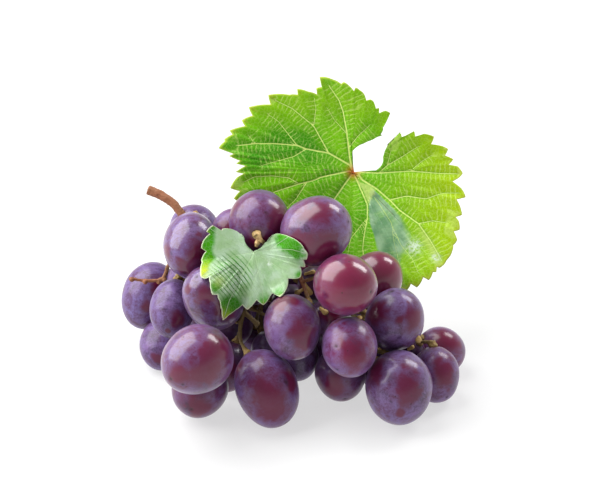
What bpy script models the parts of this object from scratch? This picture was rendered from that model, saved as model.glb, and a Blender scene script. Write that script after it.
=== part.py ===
"""Bunch of red grapes lying on a surface, with two vine leaves.

The places are given as they are seen from the front, looking 27 degrees down on the bunch:
across to the right, up the view and behind the middle of the bunch, in millimetres.
The finished model is in metres, +Z up, with its origin under the middle of the bunch.
"""
import math

import bmesh
import bpy
import numpy as np
from mathutils import Matrix, Vector

MM = 0.001

# How the bunch is seen
VIEW_DOWN = math.radians(27.0)
VIEW_DISTANCE = 750.0
AIM_HEIGHT = 60.2
RIGHT = np.array([1.0, 0.0, 0.0])
UP = np.array([0.0, math.sin(VIEW_DOWN), math.cos(VIEW_DOWN)])
AWAY = np.array([0.0, math.cos(VIEW_DOWN), -math.sin(VIEW_DOWN)])

# Grapes
GRAPE_SEGMENTS = 12
GRAPE_RINGS = 8
FOOT_PRESS = 0.4
TAPER = 0.05

# Stems
GAP = 0.4
EASE_TURNS = 120
ROUTE_HOLD = 0.12
PEDUNCLE_RADIUS = 1.75
RACHIS_RADIUS = 1.5
LATERAL_RADIUS = 1.15
PEDICEL_RADIUS = 0.8
CAP_RADIUS = 1.9
CAP_LENGTH = 1.3
NECK_STRAIGHT = 1.4
TWIG_RADIUS = 0.7
TUBE_SIDES_6 = 1
TUBE_SIDES_8 = 2
STEP_ALONG = 3.2
PETIOLE_RADIUS = 1.1
PETIOLE_TIP_RADIUS = 1.25
GROUND_CLEAR = 1.2
PEDUNCLE_FLARE = 0.35
PEDUNCLE_THINNING = 0.2
LATERAL_THINNING = 0.8
BARE_END = 0.8
CAP_NECK = 0.75
EASE_KEEP = 0.6
LINE_SAMPLES = 9
LINE_SPAN = (0.1, 0.9)
CROSSING_COST = 2.5

# Leaves
BLADE_THICKNESS = 0.8
BLADE_GAP = 1.5
LARGE_JOINT = (21.8, 26.6, 38.0)
SMALL_JOINT = (-17.8, -5.4, -13.0)
LARGE_RINGS = 6
SMALL_RINGS = 5
RING_CROWDING = 0.85
SINUS_END = 1.0
CLEAR_TURNS = 60
CLEAR_SHARE = 0.6

# Large leaf's form: a wave round the joint, one folded sector, a cup and a bend at the lower left
WAVE = 0.05
WAVE_COUNT = 3
WAVE_START = 40.0
PLEAT = 0.16
PLEAT_TURN = -62.0
PLEAT_WIDTH = 15.0
CUP = 0.0016
LOW_LEFT_BEND = 0.0045

# Small leaf's form: it rises to the right and to both ends, and folds along its middle
SMALL_RISE = 0.34
SMALL_DROOP = 0.05
SMALL_FOLD = 0.25
SMALL_FOLD_REACH = 6.0

# Mesh clean-up
SHARP_ANGLE = math.radians(50.0)
MERGE_STEM = 0.01 * MM
MERGE_BLADE = 0.02 * MM

RESTS = None

# name, across, up, behind, width, length, turn of the stem end clockwise from up, its lean away
GRAPES = [
    ("grape_shoulder_front", -43.4, -2.6, 5.0, 21.7, 28.0, 8, 35),
    ("grape_shoulder_back", -41.8, 3.8, 37.6, 20.8, 22.4, 140, -60),
    ("grape_saddle", -26.6, 3.0, 18.6, 17.2, 18.6, 200, -10),
    ("grape_crown_left", -15.6, 7.2, 0.0, 24.4, 26.4, 184, -55),
    ("grape_crown_right", 7.3, 3.2, -14.0, 27.1, 29.4, 235, 30),
    ("grape_far_left", -59.6, -23.0, 40.5, 23.1, 29.2, 18, 10),
    ("grape_left_middle", -50.4, -28.2, 7.2, 18.6, 24.4, 8, 20),
    ("grape_under_leaf", -34.2, -23.6, -8.2, 23.6, 29.4, 145, 45),
    ("grape_left_low", -55.0, -42.8, RESTS, 17.6, 23.0, -12, 40),
    ("grape_front_left", -40.7, -48.7, -33.2, 26.4, 29.6, 55, 40),
    ("grape_foot_left", -39.6, -60.2, -11.3, 22.4, 24.2, 20, 50),
    ("grape_behind_front", -28.6, -51.4, RESTS, 19.4, 21.0, 20, 0),
    ("grape_foot_front", -12.6, -60.2, RESTS, 24.7, 31.8, -20, 10),
    ("grape_centre", -2.5, -35.6, -18.3, 22.2, 26.7, -10, 25),
    ("grape_centre_behind", -10.2, -45.4, RESTS, 17.8, 19.0, -30, 20),
    ("grape_low_middle", -0.8, -47.6, 3.6, 18.0, 19.4, 0, 20),
    ("grape_foot_middle", 16.8, -54.4, -4.0, 20.3, 21.9, -10, 30),
    ("grape_right_of_centre", 20.4, -43.6, -21.7, 21.6, 25.6, -8, 45),
    ("grape_red_upper", 18.9, -18.6, -25.7, 23.8, 25.6, -75, 40),
    ("grape_red_behind", 30.8, -16.2, 11.0, 21.8, 23.6, 215, 10),
    ("grape_right_upper", 38.6, -32.3, -5.3, 23.4, 25.2, 195, 10),
    ("grape_foot_right", 40.2, -59.8, -14.6, 26.3, 29.6, 0, 15),
    ("grape_right_low", 54.8, -54.6, RESTS, 19.4, 22.8, -5, 0),
    ("grape_far_right", 57.2, -44.8, RESTS, 19.0, 20.6, -60, -20),
    ("grape_leaf_shadow", 8.6, -18.2, 6.4, 16.0, 17.8, -80, 20),
    ("grape_inner_right", 13.0, -31.8, -2.8, 15.6, 17.0, -60, 20),
    ("grape_back_foot_left", -35.0, -29.4, RESTS, 24.0, 26.4, 60, -40),
    ("grape_back_foot_middle", -8.6, -28.6, RESTS, 24.4, 27.2, 0, -50),
    ("grape_back_foot_right", 13.8, -32.6, RESTS, 23.6, 26.0, -20, -50),
    ("grape_back_right", 34.6, -39.8, RESTS, 23.6, 26.0, -40, -10),
    ("grape_back_shoulder", -41.3, -16.0, 25.4, 21.6, 24.0, 60, 0),
    ("grape_inner_left", -28.8, -34.8, 23.4, 20.4, 22.6, 50, 10),
    ("grape_inner_crown", -19.2, -15.2, 9.8, 22.4, 24.6, 160, 40),
    ("grape_back_middle", -16.6, -7.4, 31.8, 21.6, 24.0, 200, -30),
    ("grape_back_upper", 4.0, -13.0, 31.6, 21.0, 22.4, 220, 0),
    ("grape_inner_middle", -2.4, -27.6, 18.3, 18.4, 20.4, 160, 40),
    ("grape_back_corner", 34.2, -30.6, RESTS, 21.0, 23.0, -60, -40),
    ("grape_tucked_right", 45.5, -45.5, 12.0, 10.6, 11.0, 0, 0),
    ("grape_tucked_middle", 13.0, -44.5, 18.0, 20.8, 21.4, 20, 0),
    ("grape_tucked_front", 33.0, -52.0, 7.0, 18.4, 19.0, -20, -10),
    ("grape_tucked_left", -18.5, -40.3, 35.2, 11.8, 12.0, 12, -25),
]

# Stem routes, each point as across, up, behind; the first point sits inside what the stem grows from
PEDUNCLE_ROUTE = [
    (-60.2, 19.4, 24.0), (-53.4, 17.2, 23.2), (-48.8, 13.9, 22.2), (-46.8, 9.8, 21.2), (-40.5, 0.5, 20.5),
]
RACHIS_ROUTE = [
    (-40.5, 0.5, 20.5), (-28.6, -11.4, 21.0), (-17.8, -24.0, 25.8), (3.0, -26.0, 28.6), (17.7, -28.5, 19.0),
    (29.8, -36.0, 9.4), (41.6, -41.0, 7.8),
]
LATERAL_ROUTES = {
    "left": [(-28.6, -11.4, 21.0), (-36.6, -26.8, 13.8), (-38.4, -40.0, 1.4), (-36.8, -44.6, -11.0)],
    "middle": [(-17.8, -24.0, 25.8), (-16.8, -27.0, 13.4), (-20.8, -26.4, 3.4), (-22.4, -28.4, -2.0),
               (-24.2, -38.8, 0.0), (-23.0, -41.6, -3.0)],
    "bare": [(-22.4, -28.4, -2.0), (-20.0, -31.0, -1.6), (-16.0, -34.8, -1.0)],
    "crown": [(-6.0, -26.4, 28.0), (-6.0, -14.4, 17.4), (-5.0, -9.0, 4.6), (-0.5, -11.6, -3.0),
              (1.4, -15.4, -5.6), (2.4, -20.2, -5.6)],
    "right_front": [(29.8, -36.0, 9.4), (27.5, -41.0, 0.0), (29.0, -47.0, -6.5)],
}
LATERAL_PARENT = {"left": "rachis", "middle": "rachis", "bare": "middle", "crown": "rachis", "right_front": "rachis"}
TWIG_ROUTE = [
    (-66.7, -16.0, 26.4), (-65.4, -16.8, 27.0), (-63.4, -17.6, 27.6), (-60.2, -17.0, 27.6), (-57.1, -17.6, 27.8),
    (-54.0, -17.8, 28.0), (-50.0, -16.4, 27.2), (-47.0, -13.0, 24.6), (-43.0, -6.0, 21.0), (-40.5, 0.5, 20.5),
]
PETIOLE_ROUTE = [
    (23.4, 28.8, 37.4), (23.3, 28.7, 40.4), (22.4, 25.5, 43.6), (19.5, 12.0, 46.5), (14.0, -6.0, 49.0),
    (8.0, -20.0, 52.0), (4.7, -27.4, 53.0),
]
# Grapes whose stem end is not on their long axis, as turn and lean of the stem end
STEM_ENDS = {
    "grape_centre": (34, 30),
    "grape_foot_front": (-30, 15),
    "grape_crown_left": (189, -65),
    "grape_far_left": (65, -5),
    "grape_left_low": (120, -60),
    "grape_right_of_centre": (100, 60),
    "grape_foot_right": (-40, 20),
}

# Leaf edges in millimetres across and up from where the petiole joins, anticlockwise: tooth tips, notches and shoulders
LARGE_EDGE = [
    (11.8, 15.7), (12.5, 17.8), (12.3, 18.5), (14.2, 21.6), (15.5, 24.7), (13.4, 25.6), (10.8, 24.5), (10.8, 26.7),
    (9.5, 26.5), (8.5, 29.4), (7.3, 30.3), (5.5, 29.8), (4.5, 32.6), (2.8, 34.1), (1.0, 35.3), (0.3, 33.8),
    (-1.9, 36.2), (-4.0, 37.6), (-5.0, 36.8), (-8.5, 38.7), (-14.2, 39.7), (-12.9, 35.6), (-15.4, 35.1),
    (-15.1, 32.5), (-19.0, 33.8), (-23.4, 34.9), (-23.2, 32.4), (-26.6, 32.4), (-35.6, 32.3), (-34.6, 28.3),
    (-43.8, 27.1), (-42.2, 23.5), (-46.7, 21.5), (-45.3, 19.1), (-51.7, 17.2), (-50.5, 15.5), (-53.9, 13.4),
    (-53.7, 12.6), (-56.3, 9.7), (-50.1, 7.4), (-52.0, 6.5), (-47.5, 4.5), (-49.0, 3.2), (-45.1, 2.4), (-49.2, -0.2),
    (-45.8, -0.9), (-48.5, -2.3), (-51.4, -6.9), (-47.4, -8.1), (-50.0, -11.2), (-45.4, -13.6), (-45.6, -18.0),
    (-41.4, -19.4), (-42.6, -27.0), (-37.6, -28.0), (-36.5, -36.6), (-31.4, -34.4), (-23.8, -40.6), (-19.6, -37.0),
    (-10.6, -42.2), (-6.6, -39.6), (0.6, -45.6), (4.0, -43.0), (11.4, -48.6), (14.4, -45.4), (21.9, -49.5),
    (23.6, -46.6), (26.0, -48.2), (28.6, -43.9), (30.9, -45.2), (32.6, -41.9), (34.0, -41.9), (34.3, -39.7),
    (35.6, -40.2), (38.6, -37.0), (41.2, -32.7), (41.5, -30.8), (43.2, -28.6), (41.8, -25.0), (44.3, -24.3),
    (44.0, -20.8), (42.7, -19.0), (45.4, -18.1), (45.1, -16.3), (43.2, -11.6), (47.0, -10.7), (45.4, -7.1),
    (41.6, -4.1), (44.6, -2.2), (45.9, -0.6), (43.8, 2.3), (40.1, 3.0), (42.1, 5.3), (38.6, 6.9), (39.9, 9.6),
    (37.4, 10.9), (32.8, 11.7), (34.0, 14.9), (29.9, 16.1), (26.1, 14.9), (25.6, 17.2), (22.1, 15.3), (20.4, 14.7),
    (20.0, 16.4),
]
LARGE_SINUS_LEFT = [
    (-0.3, 3.9), (-0.5, 8.2), (0.1, 9.2), (1.7, 10.6), (4.7, 12.0), (8.3, 13.5), (10.6, 14.9), (11.8, 15.7),
]
LARGE_SINUS_RIGHT = [
    (20.0, 16.4), (14.6, 11.4), (13.3, 8.8), (12.6, 6.3), (12.7, 4.5), (11.9, 2.6), (10.6, 1.3), (9.2, 0.5),
]
SMALL_EDGE = [
    (-3.9, 5.5), (-5.3, 7.0), (-6.8, 8.2), (-8.5, 8.9), (-10.5, 9.3), (-12.3, 9.2), (-12.8, 8.5), (-16.3, 10.5),
    (-18.8, 8.0), (-17.4, 7.2), (-19.0, 5.8), (-20.3, 3.8), (-20.8, 1.5), (-19.0, 0.3), (-20.8, -3.3),
    (-20.4, -4.2), (-20.8, -7.3), (-20.4, -9.7), (-19.0, -10.4), (-17.2, -9.7), (-16.8, -12.3), (-16.5, -14.8),
    (-15.9, -16.5), (-14.0, -16.5), (-13.0, -19.3), (-12.3, -22.6), (-11.9, -26.6), (-9.7, -24.6), (-7.3, -22.8),
    (-4.5, -20.7), (-2.5, -22.7), (1.1, -18.8), (3.8, -20.9), (6.5, -17.3), (7.4, -16.1), (10.3, -17.4),
    (13.0, -14.1), (13.5, -10.3), (17.1, -10.4), (18.4, -9.7), (18.7, -7.4), (18.2, -5.6), (20.2, -5.8),
    (19.3, -2.9), (20.6, -2.9), (21.1, -0.7), (19.8, 1.1), (18.4, 3.4), (14.8, 5.7), (10.8, 7.0), (8.6, 7.1),
    (7.0, 6.3),
]
SMALL_SINUS_LEFT = [(-2.0, 1.5), (-3.3, 3.3), (-3.9, 5.5)]
SMALL_SINUS_RIGHT = [(7.0, 6.3), (4.3, 3.4), (2.9, 1.8), (1.6, 0.8)]


def sight(across, up, behind):
    """Return the place, in millimetres, of a point seen at across and up and lying behind the middle."""
    spread = (VIEW_DISTANCE + behind) / VIEW_DISTANCE
    place = across * spread * RIGHT + up * spread * UP + behind * AWAY
    return place + np.array([0.0, 0.0, AIM_HEIGHT])


def heading(turn, lean):
    """Return the direction that turns clockwise from up in the view and leans away from the viewer."""
    t, a = math.radians(turn), math.radians(lean)
    return math.cos(a) * (math.sin(t) * RIGHT + math.cos(t) * UP) + math.sin(a) * AWAY


def resting_depth(up, half_height):
    """Return how far behind a grape lies when it presses lightly on the surface."""
    drop = AIM_HEIGHT + up * UP[2] - (half_height - FOOT_PRESS)
    return drop / (-AWAY[2] - up * UP[2] / VIEW_DISTANCE)


class Grape:
    """One grape: a name, a middle, an axis through its stem end, and two half sizes."""

    def __init__(self, name, across, up, behind, width, length, turn, lean):
        self.name = name
        self.axis = heading(turn, lean)
        self.r = width / 2
        self.l = length / 2
        half_height = math.sqrt(self.r**2 + (self.l**2 - self.r**2) * self.axis[2] ** 2)
        depth = resting_depth(up, half_height) if behind is RESTS else behind
        self.middle = sight(across, up, depth)
        self.stem = heading(*STEM_ENDS[name]) if name in STEM_ENDS else self.axis

    def outside(self, points):
        """Return each point's distance outside the skin, and the way out."""
        off = points - self.middle
        along = off @ self.axis
        side = off - np.outer(along, self.axis)
        size = np.sqrt((side**2).sum(1) / self.r**2 + along**2 / self.l**2) + 1e-9
        out = side / self.r**2 + np.outer(along, self.axis) / self.l**2
        out = out / (np.linalg.norm(out, axis=1)[:, None] + 1e-12)
        return np.linalg.norm(off, axis=1) * (1 - 1 / size), out

    def skin(self, way):
        """Return the point of the skin that lies in one direction from the middle."""
        along = way @ self.axis
        size = math.sqrt((1 - along**2) / self.r**2 + along**2 / self.l**2)
        return self.middle + way / size


def push_clear(points, grapes, clear):
    """Move points that are too near a grape straight out of it."""
    for grape in grapes:
        distance, out = grape.outside(points)
        short = np.clip(clear - distance, 0, None)
        points = points + out * short[:, None]
    return points


def spaced(points, step):
    """Return points at even steps along a route."""
    points = np.array(points, float)
    run = np.concatenate([[0], np.cumsum(np.linalg.norm(np.diff(points, axis=0), axis=1))])
    count = max(4, int(round(run[-1] / step)) + 1)
    at = np.linspace(0, run[-1], count)
    return np.stack([np.interp(at, run, points[:, k]) for k in range(3)], axis=1)


def thread(route, grapes, radius, hold=0.0):
    """Ease a route between the grapes: smooth it and push it clear, with its ends held.

    A hold above 0 also draws the points back to the route that was given.
    """
    given = spaced(route, STEP_ALONG)
    points = given.copy()
    for _ in range(EASE_TURNS):
        eased = points.copy()
        eased[1:-1] = points[1:-1] * EASE_KEEP + (points[:-2] + points[2:]) * (1 - EASE_KEEP) / 2
        eased += (given - eased) * hold
        eased = push_clear(eased, grapes, radius + GAP)
        eased[:, 2] = np.maximum(eased[:, 2], radius + GROUND_CLEAR)
        points[1:-1] = eased[1:-1]
    return points


def depth_inside(a, b, grapes, clear):
    """Return how much of a straight line between two places runs inside grapes."""
    line = a + (b - a) * np.linspace(*LINE_SPAN, LINE_SAMPLES)[:, None]
    total = 0.0
    for grape in grapes:
        distance, _ = grape.outside(line)
        total += np.clip(clear - distance, 0, None).sum()
    return total / LINE_SAMPLES * np.linalg.norm(b - a)


def tube(name, points, radii, sides, material):
    """Make a round stem along points, with its own radius at each of them."""
    curve = bpy.data.curves.new(name, "CURVE")
    curve.dimensions = "3D"
    curve.bevel_depth = MM
    curve.bevel_resolution = sides
    curve.use_fill_caps = True
    spline = curve.splines.new("POLY")
    spline.points.add(len(points) - 1)
    for point, place, radius in zip(spline.points, points, radii):
        point.co = (*(place * MM), 1.0)
        point.radius = radius
    guide = bpy.data.objects.new(name + "_curve", curve)
    bpy.context.scene.collection.objects.link(guide)
    bpy.context.view_layer.update()
    mesh = bpy.data.meshes.new_from_object(guide.evaluated_get(bpy.context.evaluated_depsgraph_get()))
    bpy.data.objects.remove(guide)
    bm = bmesh.new()
    bm.from_mesh(mesh)
    bmesh.ops.remove_doubles(bm, verts=bm.verts, dist=MERGE_STEM)
    bmesh.ops.recalc_face_normals(bm, faces=bm.faces)
    bm.to_mesh(mesh)
    bm.free()
    mesh.name = name
    mesh.materials.clear()
    mesh.materials.append(material)
    return bpy.data.objects.new(name, mesh)


def material(name, colour, roughness):
    """Make a plain material of one colour."""
    made = bpy.data.materials.new(name)
    made.use_nodes = True
    shader = made.node_tree.nodes["Principled BSDF"]
    shader.inputs["Base Color"].default_value = (*colour, 1.0)
    shader.inputs["Roughness"].default_value = roughness
    shader.inputs["Metallic"].default_value = 0.0
    return made


def finish(obj, collection, smooth=True):
    """Put an object in the bunch's collection and shade it."""
    if smooth:
        obj.data.shade_smooth()
        obj.data.set_sharp_from_angle(angle=SHARP_ANGLE)
    collection.objects.link(obj)
    return obj


def make_grape(grape, skin, collection):
    """Make one grape as a tapered ball, with a small flat where it presses on the surface."""
    bm = bmesh.new()
    bmesh.ops.create_uvsphere(bm, u_segments=GRAPE_SEGMENTS, v_segments=GRAPE_RINGS, radius=1.0)
    for vert in bm.verts:
        girth = grape.r * (1 + TAPER * vert.co.z * (1 - vert.co.z**2))
        vert.co = Vector((vert.co.x * girth, vert.co.y * girth, vert.co.z * grape.l))
    turned = Vector((0, 0, 1)).rotation_difference(Vector(grape.axis)).to_matrix()
    bmesh.ops.rotate(bm, verts=bm.verts, cent=(0, 0, 0), matrix=turned)
    bmesh.ops.translate(bm, verts=bm.verts, vec=Vector(grape.middle))
    if min(vert.co.z for vert in bm.verts) < 0:
        geom = bm.verts[:] + bm.edges[:] + bm.faces[:]
        cut = bmesh.ops.bisect_plane(bm, geom=geom, plane_co=(0, 0, 0), plane_no=(0, 0, 1), clear_inner=True)
        rim = [item for item in cut["geom_cut"] if isinstance(item, bmesh.types.BMEdge)]
        bmesh.ops.contextual_create(bm, geom=rim)
    bmesh.ops.recalc_face_normals(bm, faces=bm.faces)
    bmesh.ops.scale(bm, verts=bm.verts, vec=(MM, MM, MM))
    mesh = bpy.data.meshes.new(grape.name)
    bm.to_mesh(mesh)
    bm.free()
    mesh.materials.append(skin)
    return finish(bpy.data.objects.new(grape.name, mesh), collection)


def taper_radii(count, first, last):
    """Return radii that change evenly along a stem."""
    return list(np.linspace(first, last, count))


def pedicel_route(grape, grapes, joints):
    """Return the route of the short stem from the nearest open joint to one grape's stem end."""
    end = grape.skin(grape.stem) + grape.stem * GAP
    neck = end + grape.stem * CAP_LENGTH
    clear = PEDICEL_RADIUS + GAP
    start_from = neck + grape.stem * NECK_STRAIGHT
    runs = [np.linalg.norm(joint - start_from) for joint in joints]
    crossings = [depth_inside(joint, start_from, grapes, clear) for joint in joints]
    best = joints[int(np.argmin(np.array(runs) + CROSSING_COST * np.array(crossings)))]
    points = thread([best, start_from, neck], grapes, PEDICEL_RADIUS)
    return np.vstack([points, end])


def make_stems(grapes, wood, collection):
    """Make the stems as one piece: peduncle, rachis, laterals and a short stem to every grape."""
    peduncle = thread([sight(*p) for p in PEDUNCLE_ROUTE], grapes, PEDUNCLE_RADIUS, ROUTE_HOLD)
    rachis_route = [peduncle[-1]] + [sight(*p) for p in RACHIS_ROUTE[1:]]
    routes = {"rachis": thread(rachis_route, grapes, RACHIS_RADIUS, ROUTE_HOLD)}
    for name, route in LATERAL_ROUTES.items():
        parent = routes[LATERAL_PARENT[name]]
        places = [sight(*p) for p in route]
        places[0] = min(parent, key=lambda p: np.linalg.norm(p - places[0]))
        routes[name] = thread(places, grapes, LATERAL_RADIUS, ROUTE_HOLD)
    twig = [sight(*p) for p in TWIG_ROUTE]
    twig[-1] = peduncle[-1]
    twig = thread(twig[::-1], grapes, TWIG_RADIUS, ROUTE_HOLD)
    trunk = tube("rachis", np.vstack([peduncle, routes["rachis"][1:]]),
                 taper_radii(len(peduncle), PEDUNCLE_RADIUS + PEDUNCLE_FLARE, PEDUNCLE_RADIUS - PEDUNCLE_THINNING)
                 + taper_radii(len(routes["rachis"]) - 1, RACHIS_RADIUS, LATERAL_RADIUS), TUBE_SIDES_8, wood)
    branches = bpy.data.collections.new("stem branches")
    bpy.context.scene.collection.children.link(branches)
    for name in LATERAL_ROUTES:
        radii = taper_radii(len(routes[name]), LATERAL_RADIUS, LATERAL_RADIUS * LATERAL_THINNING)
        if name == "bare":
            radii[-1] = CAP_RADIUS * BARE_END
        branches.objects.link(tube("lateral_" + name, routes[name], radii, TUBE_SIDES_6, wood))
    branches.objects.link(tube("twig", twig, taper_radii(len(twig), LATERAL_RADIUS, TWIG_RADIUS), TUBE_SIDES_6, wood))
    joints = [p for name, route in routes.items() if name != "bare" for p in route[1:]] + list(peduncle[-2:])
    for grape in grapes:
        points = pedicel_route(grape, grapes, joints)
        radii = [PEDICEL_RADIUS] * (len(points) - 2) + [CAP_RADIUS * CAP_NECK, CAP_RADIUS]
        branches.objects.link(tube("pedicel_" + grape.name, points, radii, TUBE_SIDES_6, wood))
    collection.objects.link(trunk)
    union = trunk.modifiers.new("branches", "BOOLEAN")
    union.operation = "UNION"
    union.solver = "EXACT"
    union.operand_type = "COLLECTION"
    union.collection = branches
    bpy.context.view_layer.update()
    whole = bpy.data.meshes.new_from_object(trunk.evaluated_get(bpy.context.evaluated_depsgraph_get()))
    trunk.modifiers.clear()
    keep_largest(whole)
    trunk.data = whole
    for branch in list(branches.objects):
        bpy.data.objects.remove(branch)
    bpy.data.collections.remove(branches)
    whole.shade_smooth()
    whole.set_sharp_from_angle(angle=SHARP_ANGLE)


def keep_largest(mesh):
    """Keep the one largest connected skin of a mesh, without sealed hollows or loose scraps."""
    bm = bmesh.new()
    bm.from_mesh(mesh)
    waiting = set(bm.verts)
    shells = []
    while waiting:
        shell = {waiting.pop()}
        edge_of_shell = list(shell)
        while edge_of_shell:
            vert = edge_of_shell.pop()
            near = {edge.other_vert(vert) for edge in vert.link_edges} & waiting
            waiting -= near
            shell |= near
            edge_of_shell.extend(near)
        shells.append(shell)
    largest = max(shells, key=len)
    bmesh.ops.delete(bm, geom=[vert for vert in bm.verts if vert not in largest], context="VERTS")
    bm.to_mesh(mesh)
    bm.free()


def angle_of(point, start):
    """Return a point's angle round the petiole joint, measured on from a starting angle."""
    return (math.degrees(math.atan2(point[1], point[0])) - start) % 360


def make_blade(name, edge, sinus, rings, place, form, away, grapes, green, collection):
    """Make a leaf blade: a grid bent round the petiole joint, open along its sinus, then thickened."""
    start = math.degrees(math.atan2(edge[0][1], edge[0][0]))
    left, right = sinus
    inner = sorted((angle_of(p, start), math.hypot(*p)) for p in left[:-1])
    near = [(0.0, math.hypot(*left[-1]))] + inner
    near += [(near[-1][0] + SINUS_END, 0.0)]
    far = sorted((angle_of(p, start), math.hypot(*p)) for p in right)
    far = [(far[0][0] - SINUS_END, 0.0)] + far
    turns = [a for a, _ in near] + [a for a, _ in far]
    reaches = [r for _, r in near] + [r for _, r in far]
    bm = bmesh.new()
    bmesh.ops.create_grid(bm, x_segments=len(edge) - 1, y_segments=rings, size=1.0)
    order = sorted(bm.verts, key=lambda v: (round(v.co.x, 5), round(v.co.y, 5)))
    flat = []
    for index, vert in enumerate(order):
        column, row = divmod(index, rings + 1)
        tip = np.array(edge[column])
        reach = np.linalg.norm(tip)
        inside = min(np.interp(angle_of(edge[column], start), turns, reaches), reach)
        flat.append(tip * (inside + (reach - inside) * (row / rings) ** RING_CROWDING) / reach)
    flat = np.array(flat)
    origin = sight(*place)
    depth = np.array([form(u, v) for u, v in flat])
    points = origin + np.outer(flat[:, 0], RIGHT) + np.outer(flat[:, 1], UP) + np.outer(depth, AWAY)
    points = lay_clear(points, away, grapes)
    for vert, point in zip(order, points):
        vert.co = Vector(point * MM)
    bmesh.ops.remove_doubles(bm, verts=bm.verts, dist=MERGE_BLADE)
    bmesh.ops.recalc_face_normals(bm, faces=bm.faces)
    bmesh.ops.triangulate(bm, faces=bm.faces)
    mesh = bpy.data.meshes.new(name)
    bm.to_mesh(mesh)
    bm.free()
    mesh.materials.append(green)
    blade = finish(bpy.data.objects.new(name, mesh), collection)
    wall = blade.modifiers.new("thickness", "SOLIDIFY")
    wall.thickness = BLADE_THICKNESS * MM
    wall.offset = 0.0
    return blade


def lay_clear(points, away, grapes):
    """Move the points of a blade along the view until they clear every grape."""
    for _ in range(CLEAR_TURNS):
        for grape in grapes:
            distance, _ = grape.outside(points)
            short = np.clip(BLADE_GAP - distance, 0, None)
            points = points + np.outer(short * CLEAR_SHARE, AWAY * away)
    return points


def large_form(u, v):
    """Return how far behind the joint a point of the large leaf lies."""
    reach = math.hypot(u, v)
    turn = math.degrees(math.atan2(v, u))
    low_left = LOW_LEFT_BEND * max(-u, 0.0) * max(-v, 0.0)
    wave = WAVE * reach * math.sin(math.radians(turn * WAVE_COUNT + WAVE_START))
    pleat = PLEAT * reach * math.exp(-(((turn - PLEAT_TURN) / PLEAT_WIDTH) ** 2))
    cup = CUP * reach**2
    return wave - pleat - cup + low_left


def small_form(u, v):
    """Return how far behind the joint a point of the small leaf lies before it drapes."""
    rise = SMALL_RISE * max(u, 0.0) + SMALL_DROOP * abs(v)
    fold = SMALL_FOLD * min(abs(u), SMALL_FOLD_REACH)
    return fold - rise


def centre_footprint(collection):
    """Move every piece so that the middle of the bunch's footprint is the origin."""
    graph = bpy.context.evaluated_depsgraph_get()
    corners = []
    for obj in collection.objects:
        mesh = obj.evaluated_get(graph).to_mesh()
        corners += [vert.co[:2] for vert in mesh.vertices]
    corners = np.array(corners)
    middle = (corners.min(0) + corners.max(0)) / 2
    for obj in collection.objects:
        obj.data.transform(Matrix.Translation((-middle[0], -middle[1], 0.0)))


def main():
    """Build the bunch."""
    for obj in list(bpy.data.objects):
        bpy.data.objects.remove(obj)
    collection = bpy.data.collections.new("bunch of grapes")
    bpy.context.scene.collection.children.link(collection)
    skin = material("grape skin", (0.16, 0.035, 0.09), 0.35)
    wood = material("stem", (0.36, 0.22, 0.08), 0.6)
    green = material("leaf", (0.13, 0.30, 0.02), 0.45)
    grapes = [Grape(*row) for row in GRAPES]
    for grape in grapes:
        make_grape(grape, skin, collection)
    make_stems(grapes, wood, collection)
    petiole = thread([sight(*p) for p in PETIOLE_ROUTE], grapes, PETIOLE_RADIUS, ROUTE_HOLD)
    petiole_radii = taper_radii(len(petiole), PETIOLE_TIP_RADIUS, PETIOLE_RADIUS)
    finish(tube("large_leaf_petiole", petiole, petiole_radii, TUBE_SIDES_6, wood), collection)
    make_blade("large_leaf", LARGE_EDGE, (LARGE_SINUS_LEFT, LARGE_SINUS_RIGHT), LARGE_RINGS, LARGE_JOINT,
               large_form, 1.0, grapes, green, collection)
    make_blade("small_leaf", SMALL_EDGE, (SMALL_SINUS_LEFT, SMALL_SINUS_RIGHT), SMALL_RINGS, SMALL_JOINT,
               small_form, -1.0, grapes, green, collection)
    bpy.context.view_layer.update()
    centre_footprint(collection)


main()
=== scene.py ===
# %% [markdown]
# A bunch of red grapes lies on a pale table with two vine leaves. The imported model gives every
# grape, stem and leaf its place. This lesson gives each of them its finished surface: round
# berries under a waxy bloom, woody stems, and thin veined leaves.

# %% Load the frame
import math

import bmesh
import bpy
import numpy as np
from mathutils import Matrix, Vector, noise
from mathutils.bvhtree import BVHTree


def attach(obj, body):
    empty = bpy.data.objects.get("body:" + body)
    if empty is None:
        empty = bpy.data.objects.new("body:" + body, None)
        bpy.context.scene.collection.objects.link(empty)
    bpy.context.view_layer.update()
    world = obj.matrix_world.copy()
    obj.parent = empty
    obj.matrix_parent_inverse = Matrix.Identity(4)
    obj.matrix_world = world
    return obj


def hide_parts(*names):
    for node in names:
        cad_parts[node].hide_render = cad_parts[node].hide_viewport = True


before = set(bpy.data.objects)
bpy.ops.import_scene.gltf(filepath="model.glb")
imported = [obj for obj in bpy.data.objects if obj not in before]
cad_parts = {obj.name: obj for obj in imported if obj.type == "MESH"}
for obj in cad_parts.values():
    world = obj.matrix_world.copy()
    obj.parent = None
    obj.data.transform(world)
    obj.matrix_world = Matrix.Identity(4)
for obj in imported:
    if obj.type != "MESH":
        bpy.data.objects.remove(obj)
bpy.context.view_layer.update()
MM = 0.001
print("nodes in the frame:", len(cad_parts))

# %% [markdown]
# The bunch is seen from the front, from 27 degrees above. Three directions describe that view:
# right, up the picture, and away from the eye. Places on the bunch that are easy to point at in
# a picture are written in these directions, and turned into the frame's own axes here.

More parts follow.
